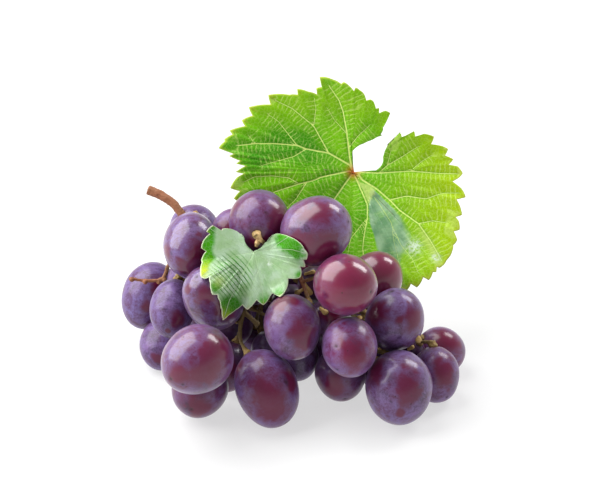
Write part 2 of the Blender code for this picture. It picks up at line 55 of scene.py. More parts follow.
# %% Directions of the view
VIEW_DOWN = math.radians(27.0)
VIEW_DISTANCE = 750.0
AIM_HEIGHT = 60.2
PHOTO_MIDDLE = (298.5, 238.5)
MM_PER_PIXEL = 0.4
RIGHT = np.array([1.0, 0.0, 0.0])
UP = np.array([0.0, math.sin(VIEW_DOWN), math.cos(VIEW_DOWN)])
AWAY = np.array([0.0, math.cos(VIEW_DOWN), -math.sin(VIEW_DOWN)])
shift = np.zeros(3)


def sight(across, up, behind):
    """Return the place in millimetres that is seen at across and up and lies behind the middle."""
    spread = (VIEW_DISTANCE + behind) / VIEW_DISTANCE
    return across * spread * RIGHT + up * spread * UP + behind * AWAY + (0, 0, AIM_HEIGHT) + shift


def heading(turn, lean):
    """Return the way that turns clockwise from up in the view and leans away from the eye."""
    t, a = math.radians(turn), math.radians(lean)
    return math.cos(a) * (math.sin(t) * RIGHT + math.cos(t) * UP) + math.sin(a) * AWAY


print("the view looks down by", round(math.degrees(VIEW_DOWN)), "degrees")

# %% [markdown]
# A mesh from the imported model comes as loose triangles. A copy with its corners merged is a
# sound start for a finer piece, and its points tell the size and place of the node.

# %% Read a node
def merged(node):
    """Return a bmesh copy of a node in millimetres, with its loose corners merged."""
    bm = bmesh.new()
    bm.from_mesh(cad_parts[node].data)
    bmesh.ops.scale(bm, verts=bm.verts, vec=(1 / MM, 1 / MM, 1 / MM))
    bmesh.ops.remove_doubles(bm, verts=bm.verts, dist=0.001)
    return bm


def places(bm):
    """Return the places of a bmesh's corners as an array."""
    return np.array([vert.co for vert in bm.verts])


def piece(bm, name, materials, node):
    """Turn a bmesh in millimetres into a finished piece that stands for a node."""
    bmesh.ops.scale(bm, verts=bm.verts, vec=(MM, MM, MM))
    mesh = bpy.data.meshes.new(name)
    bm.to_mesh(mesh)
    bm.free()
    mesh.shade_smooth()
    for material in materials:
        mesh.materials.append(material)
    obj = bpy.data.objects.new(name, mesh)
    bpy.context.scene.collection.objects.link(obj)
    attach(obj, "root")
    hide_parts(node)
    return obj


def paint(bm, name, values):
    """Store one number for each corner, which a material reads by its name."""
    layer = bm.verts.layers.float.new(name)
    for vert, value in zip(bm.verts, values):
        vert[layer] = float(value)


print("mesh helpers ready")

# %% [markdown]
# A grape is close to an ellipsoid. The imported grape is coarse, but its corners lie on the true
# skin, so the ellipsoid that passes nearest to them gives the middle, the long axis and the two
# half sizes. Corners on the small flat foot are left out of the fit.

# %% Fit an ellipsoid
FOOT_LEVEL = 0.05


def fitted(node):
    """Return the middle, long axis, half length and half width of a grape, in millimetres."""
    bm = merged(node)
    points = places(bm)
    bm.free()
    points = points[points[:, 2] > FOOT_LEVEL]
    mean = points.mean(0)
    x, y, z = (points - mean).T
    terms = np.column_stack([x * x, y * y, z * z, x * y, x * z, y * z, x, y, z])
    a, b, c, d, e, f, g, h, i = np.linalg.lstsq(terms, np.ones(len(x)), rcond=None)[0]
    form = np.array([[a, d / 2, e / 2], [d / 2, b, f / 2], [e / 2, f / 2, c]])
    middle = np.linalg.solve(form, [g, h, i]) / -2
    values, ways = np.linalg.eigh(form / (1 + middle @ form @ middle))
    sizes = 1 / np.sqrt(values)
    return middle + mean, ways[:, 0], sizes[0], (sizes[1] + sizes[2]) / 2


shift = fitted("grape_crown_left")[0] - sight(-15.6, 7.2, 0.0)
print("the frame's middle in the view, mm:", shift.round(2))

# %% [markdown]
# The camera stands where the view was taken from: 750 mm from the middle of the bunch, with a
# long lens. The frame of the picture is 238.8 mm wide at that distance.

# %% Camera
PICTURE_WIDTH = 238.8
SENSOR = 36.0

lens = bpy.data.cameras.new("camera")
lens.sensor_width = SENSOR
lens.lens = SENSOR * VIEW_DISTANCE / PICTURE_WIDTH
lens.clip_start = 0.02
lens.clip_end = 20.0
camera = bpy.data.objects.new("camera", lens)
bpy.context.scene.collection.objects.link(camera)
turned = Matrix((RIGHT, UP, -AWAY)).transposed().to_4x4()
camera.matrix_world = Matrix.Translation(Vector(sight(0, 0, -VIEW_DISTANCE) * MM)) @ turned
bpy.context.scene.camera = camera
print("lens:", round(lens.lens, 1), "mm")

# %% [markdown]
# Shader maths is easier to read as expressions. A Signal wraps one socket, and the usual
# operators add Math nodes to its tree. Any other node comes from Finish.node, which sets the
# node's own settings first and then the values or links of its sockets.

# %% Shader maths
class Signal:
    """One output socket of a material, with arithmetic."""

    def __init__(self, finish, socket):
        self.finish = finish
        self.socket = socket

    def maths(self, operation, *others):
        """Return a Math node on this signal and up to two more values."""
        return self.finish.node("ShaderNodeMath", {"operation": operation}, dict(enumerate((self, *others))))

    def __add__(self, other):
        return self.maths("ADD", other)

    def __sub__(self, other):
        return self.maths("SUBTRACT", other)

    def __rsub__(self, other):
        return self.finish.node("ShaderNodeMath", {"operation": "SUBTRACT"}, {0: other, 1: self})

    def __mul__(self, other):
        return self.maths("MULTIPLY", other)

    def __truediv__(self, other):
        return self.maths("DIVIDE", other)

    __radd__ = __add__
    __rmul__ = __mul__

    def ramp(self, low, high, first=0.0, last=1.0):
        """Return this signal mapped smoothly from low..high to first..last."""
        values = dict(enumerate((self, low, high, first, last)))
        return self.finish.node("ShaderNodeMapRange", {"interpolation_type": "SMOOTHSTEP"}, values)


class Finish:
    """A new material and the means to wire it."""

    def __init__(self, name):
        self.material = bpy.data.materials.new(name)
        self.material.use_nodes = True
        self.tree = self.material.node_tree
        self.shader = self.tree.nodes["Principled BSDF"]
        self.coords = self.node("ShaderNodeTexCoord", {}, {}, "Object")

    def node(self, kind, settings, values, out=0):
        """Add a node, set it, feed its sockets, and return one of its outputs."""
        made = self.tree.nodes.new(kind)
        for key, value in settings.items():
            setattr(made, key, value)
        self.feed(made, values)
        return Signal(self, made.outputs[out])

    def feed(self, node, values):
        """Link or set the sockets of a node."""
        for key, value in values.items():
            socket = node.inputs[key]
            if isinstance(value, Signal):
                self.tree.links.new(value.socket, socket)
            else:
                socket.default_value = value

    def attribute(self, name):
        """Return a number that was painted on the corners."""
        return self.node("ShaderNodeAttribute", {"attribute_name": name}, {}, "Fac")

    def clouds(self, size, detail=3.0, rough=0.5, warp=0.0, vector=None):
        """Return cloudy noise from 0 to 1 whose features are size millimetres wide."""
        values = {"Vector": vector or self.coords, "Scale": 1 / (size * MM), "Detail": detail,
                  "Roughness": rough, "Distortion": warp}
        return self.node("ShaderNodeTexNoise", {}, values, 0)

    def stretched(self, x, y, z):
        """Return the object coordinates with each axis scaled, which draws out a pattern."""
        return self.node("ShaderNodeMapping", {}, {"Vector": self.coords, "Scale": (x, y, z)})

    def mix(self, factor, first, second):
        """Return a mix of two colours."""
        return self.node("ShaderNodeMix", {"data_type": "RGBA"}, {0: factor, 6: first, 7: second}, 2)

    def bump(self, height, strength, depth):
        """Return a normal that follows a height, with its depth in millimetres."""
        values = {"Strength": strength, "Distance": depth * MM, "Height": height}
        return self.node("ShaderNodeBump", {}, values)

    def set(self, **values):
        """Feed the Principled shader, with underscores for the spaces of a socket's name."""
        self.feed(self.shader, {key.replace("_", " "): value for key, value in values.items()})
        return self.material


def colour(red, green, blue):
    """Return the colour for a shader from the 0 to 255 values seen on a screen."""
    parts = [value / 255 for value in (red, green, blue)]
    return (*[p / 12.92 if p < 0.04045 else ((p + 0.055) / 1.055) ** 2.4 for p in parts], 1.0)


print("shader helpers ready")

# %% [markdown]
# Grape skin is dark and glossy, from plum to cherry red. Over it lies bloom, a thin dull wax that
# scatters pale lavender light. Where berries rub or hands touch, the wax is gone and the red shows
# with sharp reflections. Bloom hides the gloss, so roughness follows the same mask as the colour,
# and the coat follows how polished each grape is. Small cork dots sit here and there, and one marks
# the end away from the stem.

# %% Grape skin
PLUM = colour(48, 8, 42)
CHERRY = colour(110, 6, 50)
INK = colour(26, 10, 40)
LAVENDER = colour(112, 98, 154)
ROSE_WAX = colour(132, 84, 130)
CORK = colour(40, 16, 24)
COLLAR = colour(84, 46, 40)
WAX_SHEEN = colour(214, 200, 235)
DOT_SPACING = 4.5


def grape_skin():
    """Make the finish that every grape shares."""
    skin = Finish("grape_skin")
    rubbed = skin.attribute("rubbed")
    red = skin.attribute("redness")
    wax = skin.attribute("wax")
    polish = skin.attribute("polish")
    stem = skin.attribute("stem_distance")
    scar = skin.attribute("scar")
    patches = skin.clouds(6.0, 5.0, 0.6, 0.8)
    grain = skin.clouds(0.7, 4.0, 0.7)
    streaks = skin.clouds(2.6, 4.0, 0.6, 1.4, skin.stretched(0.4, 1.0, 0.8))
    deep = skin.clouds(11.0, 2.0, 0.5)
    edge = rubbed + (patches - 0.5) * 1.1 + (streaks - 0.5) * 0.6 + (grain - 0.5) * 0.15
    bare = edge.ramp(0.18, 0.66)
    film = (patches * 0.5 + streaks * 0.35 + grain * 0.3).ramp(0.42, 0.72, 0.12, 1.0)
    bloom = wax * film * (1 - bare * 0.92)
    flesh = skin.mix(red, PLUM, CHERRY)
    flesh = skin.mix(deep.ramp(0.48, 0.7) * (1 - bare * 0.7) * 0.8, flesh, INK)
    flesh = skin.mix(bare * 0.35, flesh, CHERRY)
    film_colour = skin.mix(red * 0.5 + (deep - 0.5) * 1.2, LAVENDER, ROSE_WAX)
    tint = skin.mix(bloom, flesh, film_colour)
    cells = skin.node("ShaderNodeTexVoronoi", {"feature": "F1"},
                      {"Vector": skin.coords, "Scale": 1 / (DOT_SPACING * MM)}, 0)
    rarely = skin.clouds(3.1, 1.0).ramp(0.52, 0.6)
    dots = cells.ramp(0.1, 0.045) * rarely
    marks = (dots * 0.8).maths("MAXIMUM", scar)
    tint = skin.mix(marks, tint, CORK)
    collar = stem.ramp(3.6, 1.6) * 0.5
    tint = skin.mix(collar, tint, COLLAR)
    rough = 0.3 + bloom * 0.2 + (grain - 0.5) * 0.1 + marks * 0.3
    coat = 0.05 + polish * 0.8 - marks * 0.3
    relief = grain * 0.25 + patches * 0.5 - marks * 1.2
    return skin.set(Base_Color=tint, Roughness=rough, Coat_Weight=coat, Coat_Roughness=0.15, Coat_IOR=1.5,
                    Normal=skin.bump(relief, 0.3, 0.2), Sheen_Weight=0.1, Sheen_Roughness=0.35,
                    Sheen_Tint=WAX_SHEEN, Specular_IOR_Level=0.28, Subsurface_Weight=0.05,
                    Subsurface_Radius=(3.0, 0.8, 1.2), Subsurface_Scale=MM)


skin_material = grape_skin()
print("grape skin nodes:", len(skin_material.node_tree.nodes))

# %% [markdown]
# Every grape has its own look, so a table lists them: the way to its stem as a turn and a lean, how
# red, waxy and polished it is, and the places where the wax is rubbed off. Those are given as the
# share of the berry's half width to the right and up, and the size of the place. The second table
# gives corky marks in the same way.

# %% Table of grapes
GRAPES = {
    "grape_shoulder_front": (8, 35, 0.45, 0.9, 0.9,
                             [(0.4, -0.15, 0.42), (-0.1, -0.6, 0.35), (-0.85, -0.1, 0.2)]),
    "grape_shoulder_back": (140, -60, 0.35, 0.95, 0.3, [(0.5, 0.2, 0.2)]),
    "grape_saddle": (200, -10, 0.6, 0.7, 0.3, [(0.0, 0.0, 0.4)]),
    "grape_crown_left": (189, -65, 0.5, 0.65, 0.5, [(0.7, 0.1, 0.4), (0.0, -0.75, 0.5), (-0.8, 0.5, 0.25)]),
    "grape_crown_right": (235, 30, 0.6, 0.8, 0.9, [(-0.1, 0.5, 0.34), (-0.6, -0.3, 0.26), (0.0, -0.6, 0.5)]),
    "grape_far_left": (65, -5, 0.3, 0.95, 0.3, [(0.3, 0.3, 0.2), (0.0, -0.2, 0.15)]),
    "grape_left_middle": (8, 20, 0.3, 0.95, 0.3, [(0.35, -0.22, 0.26), (-0.1, -0.6, 0.12)]),
    "grape_under_leaf": (145, 45, 0.4, 0.85, 0.9, [(-0.1, -0.05, 0.3), (-0.75, 0.1, 0.15), (0.5, -0.4, 0.3)]),
    "grape_left_low": (120, -60, 0.3, 0.9, 0.2, [(-0.2, -0.3, 0.25)]),
    "grape_front_left": (55, 40, 0.6, 0.75, 0.8,
                         [(0.4, -0.25, 0.42), (-0.35, -0.28, 0.32), (0.65, 0.35, 0.4)]),
    "grape_foot_left": (20, 50, 0.45, 0.5, 0.4, [(0.0, -0.5, 0.4)]),
    "grape_behind_front": (20, 0, 0.5, 0.5, 0.4, [(0.0, 0.0, 0.4)]),
    "grape_foot_front": (-30, 15, 0.5, 0.85, 0.35,
                         [(0.1, -0.15, 0.48), (-0.85, 0.4, 0.18), (0.75, 0.35, 0.2)]),
    "grape_centre": (34, 30, 0.5, 0.8, 0.7, [(0.4, -0.1, 0.42), (-0.4, 0.75, 0.3), (0.1, 0.8, 0.2)]),
    "grape_centre_behind": (-30, 20, 0.3, 0.6, 0.2, []),
    "grape_low_middle": (0, 20, 0.2, 0.6, 0.3, [(0.0, 0.3, 0.2)]),
    "grape_foot_middle": (-10, 30, 0.35, 0.45, 0.4, [(-0.3, -0.4, 0.4)]),
    "grape_right_of_centre": (100, 60, 0.75, 0.9, 0.4, [(0.1, -0.05, 0.52)]),
    "grape_red_upper": (-75, 40, 1.0, 0.42, 1.0, [(0.15, -0.05, 0.8)]),
    "grape_red_behind": (215, 10, 1.0, 0.35, 1.0, [(0.4, 0.0, 0.8)]),
    "grape_right_upper": (195, 10, 0.4, 0.85, 0.4, [(0.6, 0.0, 0.32), (-0.7, 0.2, 0.35), (0.1, 0.0, 0.12)]),
    "grape_foot_right": (-40, 20, 0.4, 0.9, 0.5,
                         [(0.25, 0.1, 0.36), (-0.75, 0.45, 0.28), (0.0, -0.55, 0.12)]),
    "grape_right_low": (-5, 0, 0.55, 0.85, 0.3, [(0.3, 0.1, 0.4)]),
    "grape_far_right": (-60, -20, 0.75, 0.8, 0.4, [(0.2, 0.5, 0.5)]),
    # This grape, inner_left, inner_crown, inner_middle and the tucked ones get little wax, which darkens
    # their colour as painted shade deep in the bunch.
    "grape_leaf_shadow": (-80, 20, 0.3, 0.3, 0.1, []),
    "grape_inner_right": (-60, 20, 0.6, 0.6, 0.5, [(0.0, 0.2, 0.4)]),
    "grape_back_foot_left": (60, -40, 0.4, 0.85, 0.5, [(0.3, 0.0, 0.3)]),
    "grape_back_foot_middle": (0, -50, 0.5, 0.85, 0.5, [(0.0, 0.4, 0.3)]),
    "grape_back_foot_right": (-20, -50, 0.4, 0.85, 0.5, [(0.4, 0.0, 0.3)]),
    "grape_back_right": (-40, -10, 0.6, 0.8, 0.5, [(0.5, 0.3, 0.4)]),
    "grape_back_shoulder": (60, 0, 0.4, 0.9, 0.5, [(0.0, 0.5, 0.3)]),
    "grape_inner_left": (50, 10, 0.2, 0.3, 0.1, []),
    "grape_inner_crown": (160, 40, 0.2, 0.3, 0.1, []),
    "grape_back_middle": (200, -30, 0.5, 0.8, 0.5, [(0.2, 0.4, 0.4)]),
    "grape_back_upper": (220, 0, 0.6, 0.8, 0.5, [(0.0, 0.3, 0.3)]),
    "grape_inner_middle": (160, 40, 0.2, 0.3, 0.1, []),
    "grape_back_corner": (-60, -40, 0.7, 0.75, 0.5, [(0.0, 0.3, 0.4)]),
    "grape_tucked_right": (0, 0, 0.3, 0.3, 0.1, []),
    "grape_tucked_middle": (20, 0, 0.2, 0.3, 0.1, []),
    "grape_tucked_front": (-20, -10, 0.2, 0.4, 0.1, []),
    "grape_tucked_left": (12, -25, 0.4, 0.7, 0.1, []),
}
BRUISES = {
    "grape_right_upper": [(-0.15, 0.9, 0.1)],
    "grape_crown_right": [(0.86, 0.2, 0.07), (0.9, -0.15, 0.05)],
    "grape_crown_left": [(-0.3, 0.2, 0.04), (0.25, 0.3, 0.05)],
    "grape_foot_front": [(0.68, -0.7, 0.06), (0.62, 0.3, 0.06)],
    "grape_front_left": [(-0.25, -0.62, 0.06)],
    "grape_under_leaf": [(-0.05, -0.3, 0.04), (-0.62, -0.52, 0.05)],
    "grape_right_of_centre": [(-0.55, -0.62, 0.07)],
    "grape_shoulder_front": [(-0.65, -0.05, 0.05)],
    "grape_red_upper": [(0.95, 0.1, 0.04)],
    "grape_foot_right": [(-0.3, -0.25, 0.03)],
    "grape_right_low": [(0.45, -0.7, 0.06)],
}
print("grapes:", len(GRAPES))

# %% [markdown]
# A fine grape starts as a UV sphere. It tapers a little towards its tip, dips where the stem
# enters, has a tiny dent at the tip, and wavers by a fifth of a millimetre, as no berry is a
# perfect ellipsoid. Where it lies on the table its foot is pressed flat.

# %% Model a grape
ROUND_STEPS = 72
HEIGHT_STEPS = 48
TAPER = 0.05
DIMPLE, DIMPLE_SIZE = 0.45, 1.7
RIM, RIM_RADIUS, RIM_SIZE = 0.16, 3.2, 1.3
TIP_DENT, TIP_SIZE = 0.18, 0.8
WAVER, WAVER_SIZE = 0.22, 9.0
BROAD_WANDER, FINE_WANDER = 4.0, 1.9
SCAR_SIZE = 0.7


class Grape:
    """The measured ellipsoid of one grape."""

    def __init__(self, name):
        turn, lean, self.redness, self.wax, self.polish, self.rubs = GRAPES[name]
        self.name = name
        self.stem = heading(turn, lean)
        self.middle, axis, self.half_length, self.half_width = fitted(name)
        self.axis = axis if axis @ self.stem > 0 else -axis

    def outside(self, points):
        """Return each point's distance outside the skin, and the way out."""
        off = points - self.middle
        along = off @ self.axis
        side = off - np.outer(along, self.axis)
        size = np.sqrt((side**2).sum(1) / self.half_width**2 + along**2 / self.half_length**2) + 1e-9
        out = side / self.half_width**2 + np.outer(along, self.axis) / self.half_length**2
        out = out / (np.linalg.norm(out, axis=1)[:, None] + 1e-12)
        return np.linalg.norm(off, axis=1) * (1 - 1 / size), out

    def skin(self, way):
        """Return the point of the skin in one direction from the middle."""
        along = way @ self.axis
        size = math.sqrt((1 - along**2) / self.half_width**2 + along**2 / self.half_length**2)
        return self.middle + way / size


def ripple(points, size):
    """Return smooth noise from -1 to 1 at each point, with features size millimetres wide."""
    return np.array([noise.noise(Vector(point / size)) for point in points])


def bell(distance, width):
    """Return 1 at no distance, falling away within a width."""
    return np.exp(-((distance / width) ** 2))


def facing_gap(out, right, up):
    """Return how far each way out of a berry is from the place seen at right and up on it."""
    toward = math.sqrt(max(0.0, 1 - right**2 - up**2))
    return np.linalg.norm(out - (right * RIGHT + up * UP - toward * AWAY), axis=1)


def model_grape(grape):
    """Make the fine berry for one grape."""
    bm = bmesh.new()
    bmesh.ops.create_uvsphere(bm, u_segments=ROUND_STEPS, v_segments=HEIGHT_STEPS, radius=1.0)
    ball = places(bm)
    girth = grape.half_width * (1 + TAPER * ball[:, 2] * (1 - ball[:, 2] ** 2))
    shape = np.column_stack([ball[:, 0] * girth, ball[:, 1] * girth, ball[:, 2] * grape.half_length])
    turn = np.array(Vector((0, 0, 1)).rotation_difference(Vector(grape.axis)).to_matrix())
    points = shape @ turn.T + grape.middle
    _, out = grape.outside(points)
    stem_gap = np.linalg.norm(points - grape.skin(grape.stem), axis=1)
    tip_gap = np.linalg.norm(points - grape.skin(-grape.stem), axis=1)
    lift = WAVER * ripple(points, WAVER_SIZE) - DIMPLE * bell(stem_gap, DIMPLE_SIZE)
    lift += RIM * bell(stem_gap - RIM_RADIUS, RIM_SIZE) - TIP_DENT * bell(tip_gap, TIP_SIZE)
    points = points + out * lift[:, None]
    points[:, 2] = np.maximum(points[:, 2], 0.0)
    for vert, point in zip(bm.verts, points):
        vert.co = point
    wander = 1 + 0.45 * ripple(points, BROAD_WANDER) + 0.25 * ripple(points, FINE_WANDER)
    rubbed = np.zeros(len(points))
    for right, up, size in grape.rubs:
        rubbed = np.maximum(rubbed, np.clip(1.0 - facing_gap(out, right, up) * wander / (size * 2), 0, 1))
    scar = bell(tip_gap, SCAR_SIZE)
    for right, up, size in BRUISES.get(grape.name, []):
        scar = np.maximum(scar, bell(facing_gap(out, right, up) * wander, size))
    paint(bm, "rubbed", rubbed)
    for name in ("redness", "wax", "polish"):
        paint(bm, name, np.full(len(points), getattr(grape, name)))
    paint(bm, "stem_distance", stem_gap)
    paint(bm, "scar", scar)
    return piece(bm, grape.name + "_berry", [skin_material], grape.name)


grapes = [Grape(name) for name in GRAPES]
berries = [model_grape(grape) for grape in grapes]
print("berries:", len(berries), "with", len(berries[0].data.polygons), "faces each")

# %% [markdown]
# The stems are woody: orange-brown where they are dry and old, olive to beige where they are
# young. Old bark darkens in patches, and the cut ends of side twigs are yellow to cream.

# %% Stem finish
DRY_STEM = colour(142, 86, 54)
YOUNG_STEM = colour(112, 92, 50)
CAP_BEIGE = colour(158, 128, 70)
OLD_SHADE = colour(66, 32, 28)
BUD_YELLOW = colour(206, 172, 104)
CREAM = colour(240, 202, 140)


def stem_wood():
    """Make the finish of the stems."""
    wood = Finish("stem_wood")
    dry = wood.attribute("dry")
    cap = wood.attribute("cap")
    mottle = wood.clouds(2.4, 4.0, 0.6)
    fibres = wood.clouds(0.35, 3.0, 0.6)
    tint = wood.mix(dry + (mottle - 0.5) * 0.6, YOUNG_STEM, DRY_STEM)
    tint = wood.mix(cap.ramp(0.25, 0.85) * 0.8, tint, CAP_BEIGE)
    tint = wood.mix(wood.attribute("bud").ramp(0.2, 0.7) * 0.9, tint, BUD_YELLOW)
    tint = wood.mix(mottle.ramp(0.58, 0.8) * 0.6, tint, OLD_SHADE)
    cream = wood.attribute("cream").ramp(0.15, 0.5)
    tint = wood.mix(cream, tint, wood.mix(mottle.ramp(0.5, 0.7) * 0.5, CREAM, DRY_STEM))
    relief = fibres * 0.6 + mottle * 0.6
    return wood.set(Base_Color=tint, Roughness=0.5 + mottle * 0.25, Normal=wood.bump(relief, 0.6, 0.25))


wood_material = stem_wood()
print("stem nodes:", len(wood_material.node_tree.nodes))

# %% [markdown]
# Each berry hangs on a short stalk that swells into a warty cap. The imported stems, new caps, knots
# and small side twigs are overlapping shapes, and a voxel remesh melts them into one skin. Knobs
# and twigs that lie before the berries are given by the pixel of the photo where they are seen.

# %% Melt shapes into one skin
def nearest_gap(points, spots):
    """Return each point's distance from the nearest of some places."""
    return np.min([np.linalg.norm(points - spot, axis=1) for spot in spots], axis=0)


def add_ball(bm, centre, size, way=(0, 0, 1), flat=1.0):
    """Add a ball to a bmesh, flattened along one direction."""
    made = bmesh.ops.create_icosphere(bm, subdivisions=2, radius=size)
    turn = Vector((0, 0, 1)).rotation_difference(Vector(way)).to_matrix()
    bmesh.ops.scale(bm, verts=made["verts"], vec=(1, 1, flat))
    bmesh.ops.rotate(bm, verts=made["verts"], cent=(0, 0, 0), matrix=turn)
    bmesh.ops.translate(bm, verts=made["verts"], vec=Vector(centre))


def melted(bm, voxel):
    """Return a bmesh that wraps overlapping shapes in one smooth skin."""
    mesh = bpy.data.meshes.new("melting")
    bm.to_mesh(mesh)
    bm.free()
    obj = bpy.data.objects.new("melting", mesh)
    bpy.context.scene.collection.objects.link(obj)
    remesh = obj.modifiers.new("voxels", "REMESH")
    remesh.mode = "VOXEL"
    remesh.voxel_size = voxel
    bpy.context.view_layer.update()
    skin = bpy.data.meshes.new_from_object(obj.evaluated_get(bpy.context.evaluated_depsgraph_get()))
    bpy.data.objects.remove(obj)
    made = bmesh.new()
    made.from_mesh(skin)
    for _ in range(2):
        bmesh.ops.smooth_vert(made, verts=made.verts, factor=0.5, use_axis_x=True, use_axis_y=True,
                              use_axis_z=True)
    bpy.data.meshes.remove(skin)
    return made


VOXEL = 0.3
CAP_SIZE = 2.0
CAP_FLAT = 0.6
CAP_LIFT = 0.25
CAP_REACH = 2.8
KNOB_REACH = 1.8
BUD_REACH = 1.6
TWIG_KNOTS = [(-65.6, -16.6, 26.6, 1.2), (-60.5, -17.2, 27.2, 1.1), (-55.2, -17.8, 27.6, 1.1),
              (-50.6, -16.8, 27.2, 1.3)]
CREAM_KNOBS = [(258.3, 235.4, 1.1), (258.4, 237.6, 1.2), (258.0, 240.2, 0.8), (257.4, 242.6, 1.2),
               (256.6, 245.4, 0.9)]
KNOB_DEPTHS = (-35.0, -5.0)
TWIGLETS = [((305.5, 274.0), (313.6, 271.8), 0.7, 1.0), ((302.5, 281.0), (310.0, 292.5), 0.9, 1.3),
            ((305.5, 287.9), (297.5, 292.5), 0.7, 1.3), ((320.5, 308.6), (325.0, 312.0), 0.8, 1.3),
            ((379.0, 348.7), (383.6, 351.7), 0.9, 1.3), ((418.0, 338.4), (419.6, 343.0), 1.4, 1.6),
            ((408.5, 348.9), (412.0, 347.0), 0.8, 1.1), ((364.0, 316.6), (359.5, 317.7), 0.8, 1.0)]
TWIGLET_DEPTHS = (-30.0, 12.0)
TWIGLET_STEPS = 9
DEPTH_STEP = 0.25
KNOB_RISE = 0.5
FINE_WARTS, FINE_WART_SIZE = 0.14, 0.9
BROAD_WARTS, BROAD_WART_SIZE = 0.16, 2.6
WARTY_REACH = 3.0
DRY_PLACES = [((-55.0, 14.0, 22.0), 20.0), ((-62.0, -17.0, 27.0), 14.0), ((2.0, -18.0, -5.0), 8.0)]


def seen_at(x, y, behind):
    """Return the place seen at a pixel of the photo, a distance behind the middle."""
    return sight((x - PHOTO_MIDDLE[0]) * MM_PER_PIXEL, (PHOTO_MIDDLE[1] - y) * MM_PER_PIXEL, behind)


def on_berries(x, y, nearest, farthest):
    """Return the place just before the first berry that is seen at a pixel of the photo."""
    for behind in np.arange(nearest, farthest, DEPTH_STEP):
        point = seen_at(x, y, behind)
        if min(grape.outside(point[None])[0][0] for grape in grapes) < KNOB_RISE:
            return point
    return seen_at(x, y, farthest)


stems = merged("rachis")
stem_points = places(stems)
for across, up, behind, size in TWIG_KNOTS:
    near = sight(across, up, behind)
    add_ball(stems, stem_points[np.linalg.norm(stem_points - near, axis=1).argmin()], size)
cap_places = [grape.skin(grape.stem) + grape.stem * CAP_LIFT for grape in grapes]
for grape, cap in zip(grapes, cap_places):
    add_ball(stems, cap, CAP_SIZE, grape.stem, CAP_FLAT)
knob_places = [on_berries(x, y, *KNOB_DEPTHS) for x, y, _ in CREAM_KNOBS]
for place, (_, _, size) in zip(knob_places, CREAM_KNOBS):
    add_ball(stems, place, size)
bud_places = []
for first, last, thin, thick in TWIGLETS:
    for t in np.linspace(0, 1, TWIGLET_STEPS):
        x, y = np.array(first) + (np.array(last) - first) * t
        bud_places.append(on_berries(x, y, *TWIGLET_DEPTHS))
        add_ball(stems, bud_places[-1], thin + (thick - thin) * t**3)
stems = melted(stems, VOXEL)
points = places(stems)
stems.normal_update()
normals = np.array([vert.normal for vert in stems.verts])
cap_gap = nearest_gap(points, cap_places)
warts = ripple(points, FINE_WART_SIZE) * FINE_WARTS + ripple(points, BROAD_WART_SIZE) * BROAD_WARTS
warts *= 1 + 0.8 * bell(cap_gap, WARTY_REACH)
for vert, point in zip(stems.verts, points + normals * warts[:, None]):
    vert.co = point
dryness = np.zeros(len(points))
for where, reach in DRY_PLACES:
    dryness = np.maximum(dryness, bell(np.linalg.norm(points - sight(*where), axis=1), reach))
paint(stems, "dry", dryness)
paint(stems, "cap", bell(cap_gap, CAP_REACH))
paint(stems, "cream", bell(nearest_gap(points, knob_places), KNOB_REACH))
paint(stems, "bud", bell(nearest_gap(points, bud_places), BUD_REACH))
stems = piece(stems, "stems", [wood_material], "rachis")
print("stem faces:", len(stems.data.polygons))

# %% [markdown]
# The large leaf's own stalk bends down behind it. It is thinner and smoother than the stems and
# keeps some of the leaf's green, so it gets the same melt with a finer grain. Its end is tucked
# under the blade, so that it does not show in the leaf's sinus.

# %% Petiole
LARGE_JOINT = (21.8, 26.6, 38.0)
TUCK = 4.0
TUCK_BEHIND = 1.8
TUCK_REACH = 7.0
STALK_OLIVE = colour(112, 92, 36)
STALK_RED = colour(130, 66, 46)


def petiole_skin():
    """Make the finish of the leaf stalk."""
    stalk = Finish("petiole_skin")
    mottle = stalk.clouds(3.0, 3.0)
    tint = stalk.mix(mottle.ramp(0.35, 0.65), STALK_OLIVE, STALK_RED)
    return stalk.set(Base_Color=tint, Roughness=0.42, Normal=stalk.bump(stalk.clouds(0.4), 0.4, 0.15))


petiole = merged("large_leaf_petiole")
for vert, gap in zip(petiole.verts, np.linalg.norm(places(petiole) - sight(*LARGE_JOINT), axis=1)):
    vert.co += Vector((AWAY * TUCK_BEHIND - UP * TUCK) * bell(gap, TUCK_REACH))
petiole = melted(petiole, VOXEL)
petiole = piece(petiole, "petiole", [petiole_skin()], "large_leaf_petiole")
print("petiole faces:", len(petiole.data.polygons))

# %% [markdown]
# A vine leaf fans out from where its petiole joins. Its outline runs anticlockwise over the tips of
# its teeth and the notches between them, and a gap, the sinus, runs in to the joint. Points are in
# millimetres to the right of the joint and up from it.

